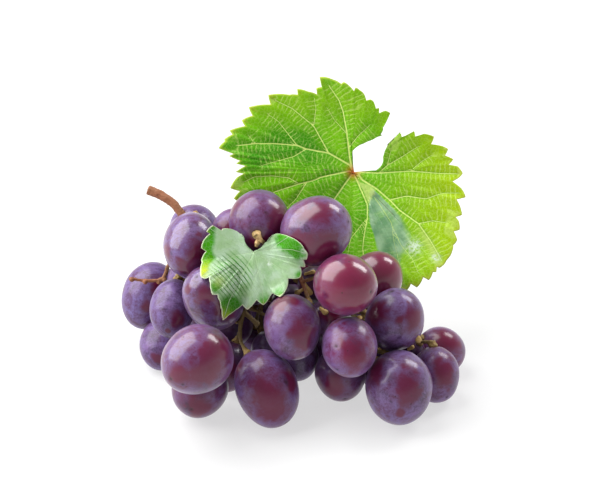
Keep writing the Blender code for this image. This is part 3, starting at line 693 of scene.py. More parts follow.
# %% Leaf outlines
LARGE_EDGE = [
    (11.8, 15.7), (12.5, 17.8), (12.3, 18.5), (14.2, 21.6), (15.5, 24.7), (13.4, 25.6), (10.8, 24.5),
    (10.8, 26.7), (9.5, 26.5), (8.5, 29.4), (7.3, 30.3), (5.5, 29.8), (4.5, 32.6), (2.8, 34.1),
    (1.0, 35.3), (0.3, 33.8), (-1.9, 36.2), (-4.0, 37.6), (-5.0, 36.8), (-8.5, 38.7), (-14.2, 39.7),
    (-12.9, 35.6), (-15.4, 35.1), (-15.1, 32.5), (-19.0, 33.8), (-23.4, 34.9), (-23.2, 32.4),
    (-26.6, 32.4), (-35.6, 32.3), (-34.6, 28.3), (-43.8, 27.1), (-42.2, 23.5), (-46.7, 21.5),
    (-45.3, 19.1), (-51.7, 17.2), (-50.5, 15.5), (-53.9, 13.4), (-53.7, 12.6), (-56.3, 9.7), (-50.1, 7.4),
    (-52.0, 6.5), (-47.5, 4.5), (-49.0, 3.2), (-45.1, 2.4), (-49.2, -0.2), (-45.8, -0.9), (-48.5, -2.3),
    (-51.4, -6.9), (-47.4, -8.1), (-50.0, -11.2), (-45.4, -13.6), (-45.6, -18.0), (-41.4, -19.4),
    (-42.6, -27.0), (-37.6, -28.0), (-36.5, -36.6), (-31.4, -34.4), (-23.8, -40.6), (-19.6, -37.0),
    (-10.6, -42.2), (-6.6, -39.6), (0.6, -45.6), (4.0, -43.0), (11.4, -48.6), (14.4, -45.4),
    (21.9, -49.5), (23.6, -46.6), (26.0, -48.2), (28.6, -43.9), (30.9, -45.2), (32.6, -41.9),
    (34.0, -41.9), (34.3, -39.7), (35.6, -40.2), (38.6, -37.0), (41.2, -32.7), (41.5, -30.8),
    (43.2, -28.6), (41.8, -25.0), (44.3, -24.3), (44.0, -20.8), (42.7, -19.0), (45.4, -18.1),
    (45.1, -16.3), (43.2, -11.6), (47.0, -10.7), (45.4, -7.1), (41.6, -4.1), (44.6, -2.2), (45.9, -0.6),
    (43.8, 2.3), (40.1, 3.0), (42.1, 5.3), (38.6, 6.9), (39.9, 9.6), (37.4, 10.9), (32.8, 11.7),
    (34.0, 14.9), (29.9, 16.1), (26.1, 14.9), (25.6, 17.2), (22.1, 15.3), (20.4, 14.7), (20.0, 16.4),
]
LARGE_SINUS_LEFT = [
    (-0.3, 3.9), (-0.5, 8.2), (0.1, 9.2), (1.7, 10.6), (4.7, 12.0), (8.3, 13.5), (10.6, 14.9),
    (11.8, 15.7),
]
LARGE_SINUS_RIGHT = [
    (20.0, 16.4), (14.6, 11.4), (13.3, 8.8), (12.6, 6.3), (12.7, 4.5), (11.9, 2.6), (10.6, 1.3),
    (9.2, 0.5),
]
SMALL_EDGE = [
    (-3.9, 5.5), (-5.3, 7.0), (-6.8, 8.2), (-8.5, 8.9), (-10.5, 9.3), (-12.3, 9.2), (-12.8, 8.5),
    (-16.3, 10.5), (-18.8, 8.0), (-17.4, 7.2), (-19.0, 5.8), (-20.3, 3.8), (-20.8, 1.5), (-19.0, 0.3),
    (-20.8, -3.3), (-20.4, -4.2), (-20.8, -7.3), (-20.4, -9.7), (-19.0, -10.4), (-17.2, -9.7),
    (-16.8, -12.3), (-16.5, -14.8), (-15.9, -16.5), (-14.0, -16.5), (-13.0, -19.3), (-12.3, -22.6),
    (-11.9, -26.6), (-9.7, -24.6), (-7.3, -22.8), (-4.5, -20.7), (-2.5, -22.7), (1.1, -18.8),
    (3.8, -20.9), (6.5, -17.3), (7.4, -16.1), (10.3, -17.4), (13.0, -14.1), (13.5, -10.3), (17.1, -10.4),
    (18.4, -9.7), (18.7, -7.4), (18.2, -5.6), (20.2, -5.8), (19.3, -2.9), (20.6, -2.9), (21.1, -0.7),
    (19.8, 1.1), (18.4, 3.4), (14.8, 5.7), (10.8, 7.0), (8.6, 7.1), (7.0, 6.3),
]
SMALL_SINUS_LEFT = [(-2.0, 1.5), (-3.3, 3.3), (-3.9, 5.5)]
SMALL_SINUS_RIGHT = [(7.0, 6.3), (4.3, 3.4), (2.9, 1.8), (1.6, 0.8)]
print("points of the edges:", len(LARGE_EDGE), "and", len(SMALL_EDGE))

# %% [markdown]
# Veins carry the leaf's relief and its pale lines. Each is a line of a few points that starts on
# a thicker vein, with its width at the start. The five main veins start at the joint.

# %% Veins
LARGE_VEINS = [
    (1.0, [(0, 0), (-1.4, 5.5), (-2.7, 17.0), (-4.2, 25.2), (-6.0, 30.1), (-10.2, 36.1)]),
    (0.5, [(-1.8, 10.1), (2.0, 15.0), (6.7, 19.3)]),
    (0.4, [(-2.6, 16.0), (-8.0, 22.0), (-11.0, 27.0)]),
    (1.0, [(0, 0), (-1.3, 2.9), (-10.2, 8.0), (-19.6, 9.7), (-23.5, 11.2), (-33.1, 11.9), (-41.0, 11.8),
           (-48.8, 10.9)]),
    (0.7, [(-10.2, 8.0), (-16.5, 19.3), (-25.6, 26.7), (-32.8, 30.1)]),
    (0.45, [(-16.5, 19.3), (-15.6, 26.9), (-16.4, 30.5)]),
    (0.5, [(-23.5, 11.2), (-31.5, 21.4), (-36.1, 24.4)]),
    (0.4, [(-41.0, 11.8), (-43.7, 15.1)]),
    (0.5, [(-19.6, 9.7), (-24.8, 6.5), (-31.5, 4.6), (-39.1, 2.4)]),
    (0.9, [(0, 0), (-1.6, 0.4), (-13.2, -2.1), (-17.3, -3.8), (-22.6, -5.0), (-32.8, -8.4), (-42.0, -14.0)]),
    (0.5, [(-22.6, -5.0), (-27.0, -2.5), (-33.8, -1.7), (-41.3, -2.1), (-45.8, -4.4)]),
    (0.5, [(-19.6, -4.6), (-24.1, -11.6), (-33.0, -20.0)]),
    (0.9, [(0, 0), (-1.6, -2.5), (-8.0, -11.6), (-18.0, -24.0), (-27.0, -34.0)]),
    (0.5, [(-8.0, -11.6), (-7.0, -22.0), (-9.0, -34.0)]),
    (0.5, [(-14.0, -19.0), (-24.0, -23.0), (-34.0, -29.0)]),
    (0.8, [(0, 0), (2.6, -6.0), (5.9, -13.8), (5.9, -19.2), (4.5, -27.2), (4.0, -31.9), (5.0, -44.0)]),
    (0.4, [(5.9, -19.2), (-1.0, -28.0), (-3.0, -39.0)]),
    (0.8, [(0, 0), (11.2, -0.4), (24.1, 0.4), (35.9, -0.6), (43.9, -0.8)]),
    (0.5, [(11.2, -0.1), (14.4, 2.8), (20.9, 6.6), (27.7, 10.9)]),
    (0.4, [(14.4, 2.8), (16.0, 9.2)]),
    (0.4, [(24.1, 0.4), (28.9, 4.5), (33.2, 7.1)]),
    (1.0, [(0, 0), (1.5, 0.4), (3.7, -3.2), (9.8, -7.0), (15.6, -12.0), (19.3, -16.0), (27.3, -21.8),
           (32.5, -29.5), (36.4, -36.8)]),
    (0.6, [(16.0, -11.6), (22.5, -10.1), (30.5, -11.3), (37.4, -8.9), (43.9, -8.9)]),
    (0.5, [(27.3, -21.7), (33.2, -20.5), (38.6, -21.3)]),
    (0.4, [(8.6, -10.7), (12.0, -15.5), (15.7, -21.2), (17.6, -26.5), (19.8, -31.0), (24.3, -36.3),
           (26.5, -42.0)]),
    (0.3, [(15.7, -21.2), (17.0, -30.0), (19.5, -41.0)]),
]
SMALL_VEINS = [
    (0.6, [(0, 0), (-5.0, -10.0), (-9.5, -19.0), (-11.6, -26.0)]),
    (0.5, [(0, 0), (-8.0, -1.5), (-15.0, -5.5), (-20.0, -9.5)]),
    (0.5, [(0, 0), (-7.5, 3.8), (-13.0, 6.5), (-17.0, 9.0)]),
    (0.5, [(0, 0), (2.0, -9.0), (3.4, -16.0), (3.8, -21.5)]),
    (0.5, [(0, 0), (8.0, -5.0), (14.0, -9.0), (17.6, -10.0)]),
    (0.5, [(0, 0), (8.0, 1.2), (15.0, 1.0), (20.8, -0.6)]),
    (0.4, [(6.0, 0.9), (10.5, 4.0), (13.5, 6.0)]),
    (0.4, [(-4.0, -8.0), (-10.0, -11.5), (-15.0, -16.0)]),
    (0.4, [(5.5, -3.5), (9.5, -10.5), (12.0, -14.5)]),
    (0.4, [(1.6, -7.0), (-1.0, -14.0), (-2.2, -21.0)]),
]
print("veins:", len(LARGE_VEINS), "and", len(SMALL_VEINS))

# %% [markdown]
# The blade is a grid bent round the joint: up to four or six columns for each side of the outline,
# and rows from the joint out to the edge. Columns across the sinus start where the gap ends.

# %% Lay out a blade
TOOTH_BULGE = 0.09
LONG_SIDE = 3.0
CLEAR_TURN = math.radians(0.8)
COLUMN_TURN = math.radians(0.5)
SPREADINGS = 60
ROW_POWER = 0.85
SINUS_TURN = 1.0
LARGE_GRID = (4, 60)
SMALL_GRID = (6, 50)


def angle_of(point, start):
    """Return a point's angle round the joint, measured on from a starting angle."""
    return (math.degrees(math.atan2(point[1], point[0])) - start) % 360


def spread(corners):
    """Return the corners of an edge, turned apart where two lie almost in line with the joint."""
    corners = np.array(corners, float)
    reach = np.hypot(corners[:, 0], corners[:, 1])
    turn = np.unwrap(np.arctan2(corners[:, 1], corners[:, 0]))
    ends = turn[[0, -1]]
    for _ in range(SPREADINGS):
        short = np.clip(CLEAR_TURN - np.diff(turn), 0, None) / 2
        turn[:-1] -= short
        turn[1:] += short
        turn[[0, -1]] = ends
    return np.column_stack([reach * np.cos(turn), reach * np.sin(turn)])


def toothed_edge(corners, steps):
    """Return a finer edge whose long sides bulge, and how near each point is to a sharp tip."""
    corners = spread(corners)
    sides = np.diff(corners, axis=0)
    turns = np.degrees(np.arctan2(sides[:, 1], sides[:, 0]))
    sharp = np.zeros(len(corners))
    sharp[1:-1] = np.clip(((np.diff(turns) + 180) % 360 - 180) / 90, 0, 1)
    edge = []
    for first, side, here, after in zip(corners, sides, sharp, sharp[1:]):
        out = np.array([side[1], -side[0]]) * TOOTH_BULGE * min(1.0, np.linalg.norm(side) / LONG_SIDE)
        span = abs(math.atan2(first[0] * side[1] - first[1] * side[0], first @ (first + side)))
        pieces = int(np.clip(round(span / COLUMN_TURN), 1, steps))
        for step in range(pieces):
            t = step / pieces
            straight = first + side * t
            swell = np.linalg.norm(straight + out * math.sin(math.pi * t)) / np.linalg.norm(straight)
            edge.append((*(straight * swell), here * (1 - t) ** 2 + after * t**2))
    edge.append((*corners[-1], 0.0))
    return np.array(edge)


def blade_layout(corners, sinus, steps, rows):
    """Return the flat places of a blade's grid, as columns, rows and two coordinates, and the tips."""
    edge = toothed_edge(corners, steps)
    start = math.degrees(math.atan2(edge[0][1], edge[0][0]))
    left, right = sinus
    near = [(0.0, math.hypot(*left[-1]))] + sorted((angle_of(p, start), math.hypot(*p)) for p in left[:-1])
    far = sorted((angle_of(p, start), math.hypot(*p)) for p in right)
    gap = near + [(near[-1][0] + SINUS_TURN, 0.0), (far[0][0] - SINUS_TURN, 0.0)] + far
    turns, reaches = zip(*gap)
    flat = np.zeros((len(edge), rows + 1, 2))
    share = (np.arange(rows + 1) / rows) ** ROW_POWER
    for column, (u, v, _) in enumerate(edge):
        tip = np.array([u, v])
        reach = np.linalg.norm(tip)
        inside = min(np.interp(angle_of(tip, start), turns, reaches), reach)
        flat[column] = np.outer(inside + (reach - inside) * share, tip / reach)
    return flat, edge[:, 2]


print("points of the finer edges:", len(toothed_edge(LARGE_EDGE, LARGE_GRID[0])), "and",
      len(toothed_edge(SMALL_EDGE, SMALL_GRID[0])))

# %% [markdown]
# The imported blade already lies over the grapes, so the fine one takes its depth from it. A ray
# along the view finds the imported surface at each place, and smoothing takes out its facets.

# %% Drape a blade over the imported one
SMOOTHING = 30
VEIN_TAPER = 0.55
RUNG_SHIFT = 0.7
RAY_START = 200.0
FAR_OFF = 99.0


def smoothed(field, turns):
    """Return a grid of numbers with each drawn towards its neighbours."""
    for _ in range(turns):
        wide = np.pad(field, 1, mode="edge")
        field = field * 0.4 + 0.15 * (wide[:-2, 1:-1] + wide[2:, 1:-1] + wide[1:-1, :-2] + wide[1:-1, 2:])
    return field


def depth_from(node, origin, flat):
    """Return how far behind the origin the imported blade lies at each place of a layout."""
    bm = merged(node)
    tree = BVHTree.FromBMesh(bm)
    bm.free()
    depth = np.zeros(flat.shape[:2])
    away = Vector(AWAY)
    for column in range(flat.shape[0]):
        last = 0.0
        for row in range(flat.shape[1]):
            u, v = flat[column, row]
            eye = Vector(origin + u * RIGHT + v * UP - RAY_START * AWAY)
            hit, _, _, run = tree.ray_cast(eye, away)
            if hit is not None:
                last = run - RAY_START
            depth[column, row] = last
    return smoothed(depth, SMOOTHING)


def nearest_vein(flat, veins):
    """Return the gap to the nearest vein, the same signed, its width, the run along it and the seams."""
    points = flat.reshape(-1, 2)
    gap = np.full(len(points), FAR_OFF)
    signed, thick, along, owner = np.zeros((4, len(points)))
    for number, (width, line) in enumerate(veins):
        line = np.array(line, float)
        run = np.concatenate([[0], np.cumsum(np.linalg.norm(np.diff(line, axis=0), axis=1))])
        for k in range(len(line) - 1):
            side = line[k + 1] - line[k]
            off = points - line[k]
            t = np.clip(off @ side / (side @ side), 0, 1)
            distance = np.linalg.norm(off - t[:, None] * side, axis=1)
            at = run[k] + t * (run[k + 1] - run[k])
            nearer = distance < gap
            gap = np.where(nearer, distance, gap)
            hand = np.sign(side[0] * off[:, 1] - side[1] * off[:, 0])
            signed = np.where(nearer, hand * distance, signed)
            thick = np.where(nearer, width * (1 - VEIN_TAPER * at / run[-1]), thick)
            along = np.where(nearer, at + number * RUNG_SHIFT, along)
            owner = np.where(nearer, number, owner)
    owner = owner.reshape(flat.shape[:2])
    seam = np.zeros(owner.shape)
    for axis in (0, 1):
        for step in (1, -1):
            seam = np.maximum(seam, owner != np.roll(owner, step, axis=axis))
    seam = np.maximum(seam, 0.5 * np.maximum(np.roll(seam, 1, axis=0), np.roll(seam, -1, axis=0)))
    return [field.reshape(flat.shape[:2]) for field in (gap, signed, thick, along, seam)]


print("draping helpers ready")

# %% [markdown]
# The relief goes into the mesh: veins stand a little proud underneath and sink on top, and the
# blade puffs up between them. Numbers painted on the corners tell the finish where the veins, the
# edge and the coloured places are. Solidify gives the sheet its real thickness of a third of a
# millimetre, and its second side takes a paler finish.

# %% Build a blade
LEAF_THICKNESS = 0.35
CLEARANCE = 0.7
PUSHES = 12
PUSH_SHARE = 0.6


def build_blade(node, origin, corners, sinus, grid, veins, relief, looks, side):
    """Make a fine blade that stands for a packed one and is pushed clear of the grapes on one side."""
    rows = grid[1]
    flat, tipness = blade_layout(corners, sinus, *grid)
    gap, signed, thick, along, seam = nearest_vein(flat, veins)
    depth = depth_from(node, origin, flat) + LEAF_THICKNESS / 2
    base = origin + flat[..., :1] * RIGHT + flat[..., 1:] * UP + depth[..., None] * AWAY
    points = base.reshape(-1, 3)
    for _ in range(PUSHES):
        for grape in grapes:
            distance, _ = grape.outside(points)
            points = points + np.outer(np.clip(CLEARANCE - distance, 0, None) * PUSH_SHARE, AWAY * side)
    base = points.reshape(base.shape)
    across = np.gradient(base, axis=0)
    out = np.gradient(base, axis=1)
    normal = np.cross(across, out)
    normal /= np.linalg.norm(normal, axis=2)[..., None] + 1e-9
    normal *= -np.sign((normal @ AWAY).mean())
    places_now = base + normal * relief(flat, gap, thick)[..., None]
    bm = bmesh.new()
    columns = flat.shape[0]
    bmesh.ops.create_grid(bm, x_segments=columns - 1, y_segments=rows, size=1.0)
    outward = np.repeat(np.arange(rows + 1)[None, :] / rows, columns, axis=0)
    fields = {"vein_side": signed, "vein_gap": gap, "vein_width": thick, "rung": along, "seam": seam,
              "rim": outward, "tip": outward**6 * tipness[:, None]}
    fields.update({key: look(flat) for key, look in looks.items()})
    for key in fields:
        bm.verts.layers.float.new(key)
    layers = {key: bm.verts.layers.float[key] for key in fields}
    uv = bm.loops.layers.uv.new("blade_mm")
    order = sorted(bm.verts, key=lambda v: (round(v.co.x, 5), round(v.co.y, 5)))
    flat_of = {}
    for index, vert in enumerate(order):
        column, row = divmod(index, rows + 1)
        vert.co = places_now[column, row]
        for key, values in fields.items():
            vert[layers[key]] = values[column, row]
        flat_of[vert] = flat[column, row]
    for face in bm.faces:
        for loop in face.loops:
            loop[uv].uv = flat_of[loop.vert]
    bmesh.ops.remove_doubles(bm, verts=bm.verts, dist=0.02)
    bmesh.ops.recalc_face_normals(bm, faces=bm.faces)
    if sum((face.normal @ Vector(AWAY)) * face.calc_area() for face in bm.faces) > 0:
        bmesh.ops.reverse_faces(bm, faces=bm.faces)
    materials = [leaf_sides[node + "_top"], leaf_sides[node + "_under"]]
    blade = piece(bm, node + "_blade", materials, node)
    wall = blade.modifiers.new("thickness", "SOLIDIFY")
    wall.thickness = LEAF_THICKNESS * MM
    wall.offset = -1.0
    wall.material_offset = 1
    return blade


print("leaf thickness, mm:", LEAF_THICKNESS)

# %% [markdown]
# Leaf green comes from a mix: darker green by the joint, yellower to the right and along the
# edge, pale veins with painted shade beside them, and fine rungs that run between the veins like a
# ladder. A net of smaller cells lies under that. A painted grey-green sheen and painted highlights
# lie over it where they are given. The underside is paler and duller, with the same veins.

# %% Leaf finish
PAINTED_PALE_SHEEN = colour(188, 208, 116)
PAINTED_GLARE = colour(214, 228, 214)
JOINT_BLUSH = colour(190, 84, 26)
DRY_TIP = colour(150, 138, 40)
NET_SIZE = 1.5


def leaf_green(name, rough, spacing, bend, lines, *tints):
    """Make the finish of one side of a leaf, with its rungs and tints in the order of LEAF_SIDES."""
    fresh, dark, yellow, vein_colour, film, painted_sheen_pale, rim_colour = [colour(*tint) for tint in tints]
    leaf = Finish(name)
    side = leaf.attribute("vein_side").maths("ABSOLUTE")
    near = (leaf.attribute("vein_gap") - side).ramp(1.0, 0.75)
    share = side / leaf.attribute("vein_width")
    vein = share.ramp(0.52, 0.22) * near
    # A band beside each vein is painted a darker green: painted shade in the grooves along the veins.
    painted_vein_shade = share.ramp(1.7, 0.6) * near
    rung = leaf.attribute("rung")
    # painted_sheen marks where a grey-green sheen, a reflection, is painted into the colour; it also sets the
    # coat.
    painted_sheen = leaf.attribute("painted_sheen")
    ribbed = leaf.attribute("ribbed")
    broad = leaf.clouds(14.0, 3.0)
    fine = leaf.clouds(1.2, 4.0, 0.6)
    bent = rung / spacing + (leaf.clouds(3.5, 2.0) - 0.5) * bend
    ladder = (bent.maths("FRACT") - 0.5).maths("ABSOLUTE").ramp(0.2, 0.04) * (1 - leaf.attribute("seam"))
    cells = leaf.node("ShaderNodeTexVoronoi", {"feature": "DISTANCE_TO_EDGE"},
                      {"Vector": leaf.coords, "Scale": 1 / (NET_SIZE * MM)}, 0)
    net = cells.ramp(0.12, 0.02)
    tint = leaf.mix(broad.ramp(0.35, 0.7) * 0.6 + leaf.attribute("deep") * 0.7, fresh, dark)
    tint = leaf.mix(leaf.attribute("ripe"), tint, yellow)
    tint = leaf.mix((fine - 0.5).maths("ABSOLUTE") * 1.1, tint, dark)
    tint = leaf.mix(painted_vein_shade * 0.45 * (1 - painted_sheen), tint, dark)
    tint = leaf.mix(ladder * lines * (1 - painted_vein_shade * 0.5) + net * 0.14, tint, vein_colour)
    blotches = leaf.clouds(4.0, 3.0).ramp(0.5, 0.7) * 0.5 + (fine - 0.5).maths("ABSOLUTE") * 0.5
    # film and painted_sheen_pale are the colours of the painted sheen; where ribbed it gives way to green in
    # each groove, which paints shade there.
    painted_sheen_tint = leaf.mix(leaf.clouds(5.5, 3.0).ramp(0.3, 0.75), film, painted_sheen_pale)
    painted_sheen_cover = (painted_sheen * 1.15 + (leaf.clouds(2.6, 4.0) - 0.5) * 0.9 * (1 - painted_sheen * painted_sheen)).ramp(0.1, 1.0)
    tint = leaf.mix(painted_sheen_cover * 0.9 * (1 - ladder * ribbed) * (1 - blotches * 0.5), tint, painted_sheen_tint)
    tint = leaf.mix(vein * (0.95 - painted_sheen * 0.5), tint, vein_colour)
    # The pale attribute paints a pale sheen by the joint and a highlight streak on the fold: painted
    # reflection.
    tint = leaf.mix(leaf.attribute("pale") * 0.85, tint, PAINTED_PALE_SHEEN)
    # Painted highlights: pale glint spots painted into the colour.
    tint = leaf.mix(leaf.attribute("painted_glare") * fine.ramp(0.35, 0.6), tint, PAINTED_GLARE)
    tint = leaf.mix(leaf.attribute("blush"), tint, JOINT_BLUSH)
    tint = leaf.mix(leaf.attribute("tip").ramp(0.3, 0.9) * 0.5, tint, DRY_TIP)
    tint = leaf.mix(leaf.attribute("rim").ramp(0.965, 0.99) * 0.6, tint, rim_colour)
    relief = (1 - ladder) * (0.35 + ribbed * 0.8) + (1 - net) * 0.25 + fine * 0.3 - vein * 0.5
    rough = rough + (fine - 0.5) * 0.2 - painted_sheen * 0.1
    return leaf.set(Base_Color=tint, Roughness=rough, Coat_Weight=painted_sheen * 0.6, Coat_Roughness=0.2,
                    Normal=leaf.bump(relief, 0.5, 0.3), Specular_IOR_Level=0.15)


# Roughness; spacing, bend and strength of the rungs; then the tints called fresh, dark, yellow, vein,
# film and pale film, which are the colours of the painted sheen, and rim.
LEAF_SIDES = {
    "large_leaf_top": (0.5, 1.9, 1.1, 0.3, (116, 190, 0), (58, 144, 0), (168, 194, 0), (214, 236, 128),
                       (92, 138, 102), (150, 184, 148), (190, 206, 70)),
    "large_leaf_under": (0.6, 1.9, 1.1, 0.3, (112, 138, 66), (94, 122, 56), (128, 140, 68), (150, 162, 100),
                         (104, 122, 90), (112, 130, 98), (150, 160, 96)),
    "small_leaf_top": (0.36, 1.45, 0.5, 0.0, (66, 154, 4), (26, 92, 0), (176, 190, 24), (172, 200, 152),
                       (158, 190, 142), (186, 208, 184), (236, 238, 208)),
    "small_leaf_under": (0.6, 1.45, 0.3, 0.2, (106, 132, 70), (90, 116, 62), (116, 134, 66), (142, 156, 104),
                         (112, 134, 110), (120, 140, 116), (190, 198, 160)),
}
leaf_sides = {name: leaf_green(name, *values) for name, values in LEAF_SIDES.items()}
print("leaf nodes:", len(leaf_sides["large_leaf_top"].node_tree.nodes))

# %% [markdown]
# The large leaf stands behind the grapes. It is yellower to the right, flushed orange at the joint,
# and has one folded sector below the joint with a painted grey-green sheen, a painted reflection.
# The sides of that sector and of the pale painted sheen beside it are given as distances from the
# joint and the angles at them. Painted highlights lie on the fold as two spots and a streak.

# %% Large leaf
FOLD_LEFT = ([10.8, 15.2, 19.3, 24.7, 34, 45], [-52, -64.6, -71, -72.3, -73, -70])
FOLD_RIGHT = ([12, 20, 27, 37, 50], [-41, -41.5, -41.5, -47, -62])
FOLD_SOFTNESS = ([14, 26, 40], [1.5, 5, 12])
PALE_LEFT = ([2, 5, 8, 11, 30], [-63, -67, -62, -64, -74])
PALE_RIGHT = ([2, 5, 8, 12, 15, 30], [-58, -56, -38, -37, -66, -73])
PAINTED_GLARE_STREAK = ([35, 52], [-40, -47.5])
FOLD_START = 10.5
FOLD_RISE = 0.5
QUILT = 0.42
VEIN_SINK = 0.16


def nowhere(flat):
    """Return 0 at every place of the blade."""
    return np.zeros(flat.shape[:2])


def reach_of(flat):
    """Return each place's distance from the joint."""
    return np.linalg.norm(flat, axis=2)


def turn_of(flat):
    """Return each place's angle round the joint, in degrees from the right."""
    return np.degrees(np.arctan2(flat[..., 1], flat[..., 0]))


def spot(flat, across, up, size):
    """Return 1 at one place of the blade, falling away within a size in millimetres."""
    return bell(np.hypot(flat[..., 0] - across, flat[..., 1] - up), size)


def fold_of(flat):
    """Return 1 on the folded sector below the joint and 0 off it."""
    turn, reach = turn_of(flat), reach_of(flat)
    left = np.interp(reach, *FOLD_LEFT)
    right = np.interp(reach, *FOLD_RIGHT)
    soft = np.interp(reach, *FOLD_SOFTNESS)
    sector = np.clip((turn - left) / 1.5, 0, 1) * np.clip((right - turn) / soft, 0, 1)
    bottom = 1 - 0.85 * np.clip((reach - 37) / 6, 0, 1) * np.clip((turn + 66) / 4, 0, 1)
    return sector * np.clip((reach - FOLD_START) / 0.8, 0, 1) * bottom


def painted_pale_sheen_and_glare(flat):
    """Return 1 on the pale painted sheen between the joint and the fold and on the painted highlight streak
    beside it.
    """
    turn, reach = turn_of(flat), reach_of(flat)
    left = np.interp(reach, *PALE_LEFT)
    right = np.interp(reach, *PALE_RIGHT)
    strip = np.clip((turn - left) / 2, 0, 1) * np.clip((right - turn) / 3, 0, 1)
    strip = strip * np.clip((30 - reach) / 4, 0, 1)
    streak = bell(turn - np.interp(reach, *PAINTED_GLARE_STREAK), 1.8) * np.clip((reach - 34) / 8, 0, 1)
    return strip * np.clip((reach - 1) / 2, 0, 1) * 0.8 + streak * 0.7


def large_relief(flat, gap, thick):
    """Return how far the large blade is raised at each place."""
    reach = np.clip(reach_of(flat) / 8, 0, 1)
    quilt = QUILT * (1 - bell(gap, 1.6)) * reach
    return quilt - VEIN_SINK * bell(gap, thick * 0.6) + FOLD_RISE * fold_of(flat)


def large_ripe(flat):
    """Return how yellow the large blade is: more to the right and along its top."""
    return np.clip((flat[..., 0] - 8) / 34, 0, 1) * 0.8 + 0.25 * bell(flat[..., 1] - 30, 10)


LARGE_LOOKS = {
    "ripe": large_ripe,
    "deep": lambda flat: bell(flat[..., 1] - 11, 9) * np.clip((-8 - flat[..., 0]) / 10, 0, 1),
    "blush": lambda flat: bell(reach_of(flat), 2.6) * 0.9,
    "painted_sheen": fold_of,
    "pale": painted_pale_sheen_and_glare,
    "painted_glare": lambda flat: spot(flat, 25.1, -31.5, 2.8) + spot(flat, 34.0, -36.0, 1.6),
    "ribbed": nowhere,
}
large_leaf = build_blade("large_leaf", sight(*LARGE_JOINT), LARGE_EDGE, (LARGE_SINUS_LEFT, LARGE_SINUS_RIGHT),
                         LARGE_GRID, LARGE_VEINS, large_relief, LARGE_LOOKS, 1.0)
print("large leaf faces:", len(large_leaf.data.polygons))

# %% [markdown]
# The small leaf lies over the front grapes. It is glossy and finely corrugated, like the bones of
# a fish on both sides of its middle vein. A grey sheen is painted over most of it, a painted
# reflection that gives way to the leaf's own green in the grooves, by the edge and in spots, so its
# edge is a brighter green. A few painted highlights lie on it too.

# %% Small leaf
SMALL_JOINT = (-17.8, -5.4, -13.0)
RIB_SPACING = 1.45
RIB_RISE = 0.2
RIB_TURN = math.radians(-137)
RIB_BOW = 0.02
SMALL_QUILT = 0.12
# Left of this border and on the green spots, the painted grey sheen gives way to the leaf's own green.
PAINTED_SHEEN_BORDER = ([-10, -5, -2.5, 0, 3.5, 6.6], [-17.2, -15.6, -13.6, -14.6, -14.2, -13.6])
GREEN_SPOTS = [(1, -8.6, -20.5, 4.4), (1, -11.2, -23, 4.0), (1, -14.6, -13.6, 2.6), (1, 11.5, 5.2, 4.0),
               (1, 15.5, 2.4, 4.0), (1, 18, -0.5, 2.4), (0.8, 3.8, -19.4, 3.0), (0.8, 10.4, -16.4, 3.0),
               (0.8, 18, -9.2, 2.6)]
RIPE_SPOTS = [(1, -19.2, -9.0, 2.6), (1, -11.8, -26.0, 3.0), (0.5, -18.5, -6, 3.0)]
PAINTED_GLARE_SPOTS = [(1, 5.9, -4.5, 1.1), (0.7, 19.6, 0.6, 1.2), (0.5, 18.9, -2.6, 0.9)]


def ribs_run(flat):
    """Return the way across the ribs, which run down to the right on the small blade's left."""
    bow = RIB_BOW * (flat[..., 0] + 9) * (flat[..., 1] + 9)
    return flat[..., 0] * math.cos(RIB_TURN) + flat[..., 1] * math.sin(RIB_TURN) + bow


def ribs_share(flat):
    """Return 1 where the small blade is ribbed and 0 where it is smooth."""
    across = (flat[..., 0] + 8.6) / 8.0
    up = (flat[..., 1] + 9.6) / 9.0
    return np.clip(1.5 - 1.1 * np.hypot(across, up) ** 2, 0, 1)


def small_relief(flat, gap, _):
    """Return how far the small blade is raised at each place, whatever the width of its veins."""
    reach = np.clip(reach_of(flat) / 5, 0, 1)
    ribs = RIB_RISE * np.cos(2 * math.pi * ribs_run(flat) / RIB_SPACING) * ribs_share(flat)
    return (SMALL_QUILT * (1 - bell(gap, 1.1)) + ribs) * reach


def spots(flat, table_of_spots):
    """Return the sum of spots, each given by its strength and then across, up and size."""
    return sum(strength * spot(flat, *where) for strength, *where in table_of_spots)


def small_painted_sheen(flat):
    """Return 1 where a grey sheen is painted on the small blade and 0 where its own green shows."""
    border = np.interp(flat[..., 1], *PAINTED_SHEEN_BORDER)
    left_edge = np.clip((border - flat[..., 0]) / 3, 0, 1) * np.clip((flat[..., 1] + 12) / 3, 0, 1)
    return 1 - np.clip(left_edge + spots(flat, GREEN_SPOTS), 0, 1)


SMALL_LOOKS = {
    "rung": ribs_run,
    "seam": nowhere,
    "ripe": lambda flat: spots(flat, RIPE_SPOTS),
    "deep": nowhere,
    "blush": nowhere,
    "painted_sheen": small_painted_sheen,
    # A small pale painted sheen on the lower left of the small leaf.
    "pale": lambda flat: 0.6 * spot(flat, -13.6, -11.6, 2.2),
    "painted_glare": lambda flat: spots(flat, PAINTED_GLARE_SPOTS),
    "ribbed": ribs_share,
}
small_leaf = build_blade("small_leaf", sight(*SMALL_JOINT), SMALL_EDGE, (SMALL_SINUS_LEFT, SMALL_SINUS_RIGHT),
                         SMALL_GRID, SMALL_VEINS, small_relief, SMALL_LOOKS, -1.0)
print("small leaf faces:", len(small_leaf.data.polygons))

# %% [markdown]
# The bunch lies on a wide white table. A large soft box stands high on the left and makes the pale
# shape on every berry, a small one on the right, a little behind the bunch, makes the sharp
# glints, and the white room fills the rest, brighter by the floor than overhead.

# %% Table and light
TABLE_HALF = 4.0
TABLE_GREY = (0.3, 0.3, 0.3, 1.0)
TABLE_GLOW = 0.6
WHITE = (1.0, 1.0, 1.0, 1.0)
LIGHT_AIM = (0, -20, 0)
SKY_HEIGHTS = (0.0, 0.55)
SKY_STRENGTHS = (1.05, 0.36)


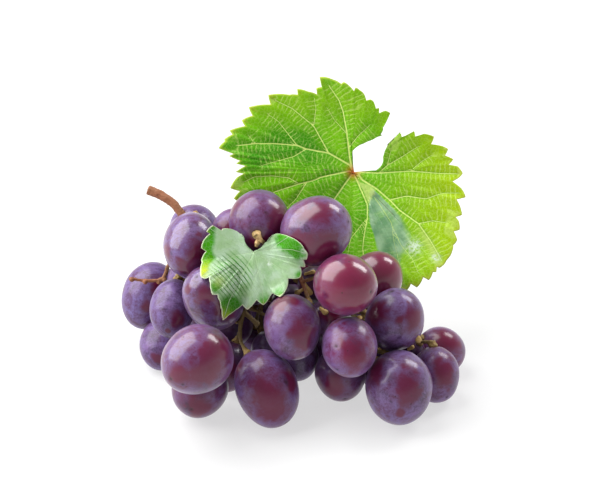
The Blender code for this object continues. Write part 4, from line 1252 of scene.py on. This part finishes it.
def table():
    """Make the pale floor."""
    bm = bmesh.new()
    bmesh.ops.create_grid(bm, x_segments=1, y_segments=1, size=TABLE_HALF)
    mesh = bpy.data.meshes.new("table")
    bm.to_mesh(mesh)
    bm.free()
    pale = Finish("table_white")
    mesh.materials.append(pale.set(Base_Color=TABLE_GREY, Roughness=0.9, Specular_IOR_Level=0.0,
                                   Emission_Color=WHITE, Emission_Strength=TABLE_GLOW))
    obj = bpy.data.objects.new("table", mesh)
    bpy.context.scene.collection.objects.link(obj)
    return obj


def soft_box(name, across, up, toward, distance, width, height, radiance):
    """Hang a rectangular light in one direction of the view, facing the bunch."""
    way = Vector(across * RIGHT + up * UP - toward * AWAY).normalized()
    light = bpy.data.lights.new(name, "AREA")
    light.shape = "RECTANGLE"
    light.size = width
    light.size_y = height
    light.energy = radiance * math.pi * width * height
    obj = bpy.data.objects.new(name, light)
    side = Vector(UP).cross(way).normalized()
    place = Vector(sight(*LIGHT_AIM) * MM) + way * distance
    facing = Matrix((side, way.cross(side), way)).transposed().to_4x4()
    obj.matrix_world = Matrix.Translation(place) @ facing
    bpy.context.scene.collection.objects.link(obj)
    return obj


table()
soft_box("large_soft_box", across=-0.66, up=0.72, toward=0.2, distance=0.85, width=0.85, height=1.2,
         radiance=5.6)
soft_box("small_soft_box", across=0.57, up=0.82, toward=-0.1, distance=0.7, width=0.24, height=0.36,
         radiance=10.0)

world = bpy.data.worlds.new("room")
world.use_nodes = True
tree = world.node_tree
sky_way = tree.nodes.new("ShaderNodeTexCoord").outputs["Generated"]
height = tree.nodes.new("ShaderNodeSeparateXYZ")
tree.links.new(sky_way, height.inputs[0])
fade = tree.nodes.new("ShaderNodeMapRange")
fade.interpolation_type = "SMOOTHSTEP"
for socket, value in zip(fade.inputs[1:5], SKY_HEIGHTS + SKY_STRENGTHS):
    socket.default_value = value
tree.links.new(height.outputs["Z"], fade.inputs[0])
tree.links.new(fade.outputs[0], tree.nodes["Background"].inputs["Strength"])
tree.nodes["Background"].inputs["Color"].default_value = WHITE
scene = bpy.context.scene
scene.world = world
scene.view_settings.view_transform = "Standard"
scene.view_settings.look = "None"
scene.view_settings.exposure = 0.0
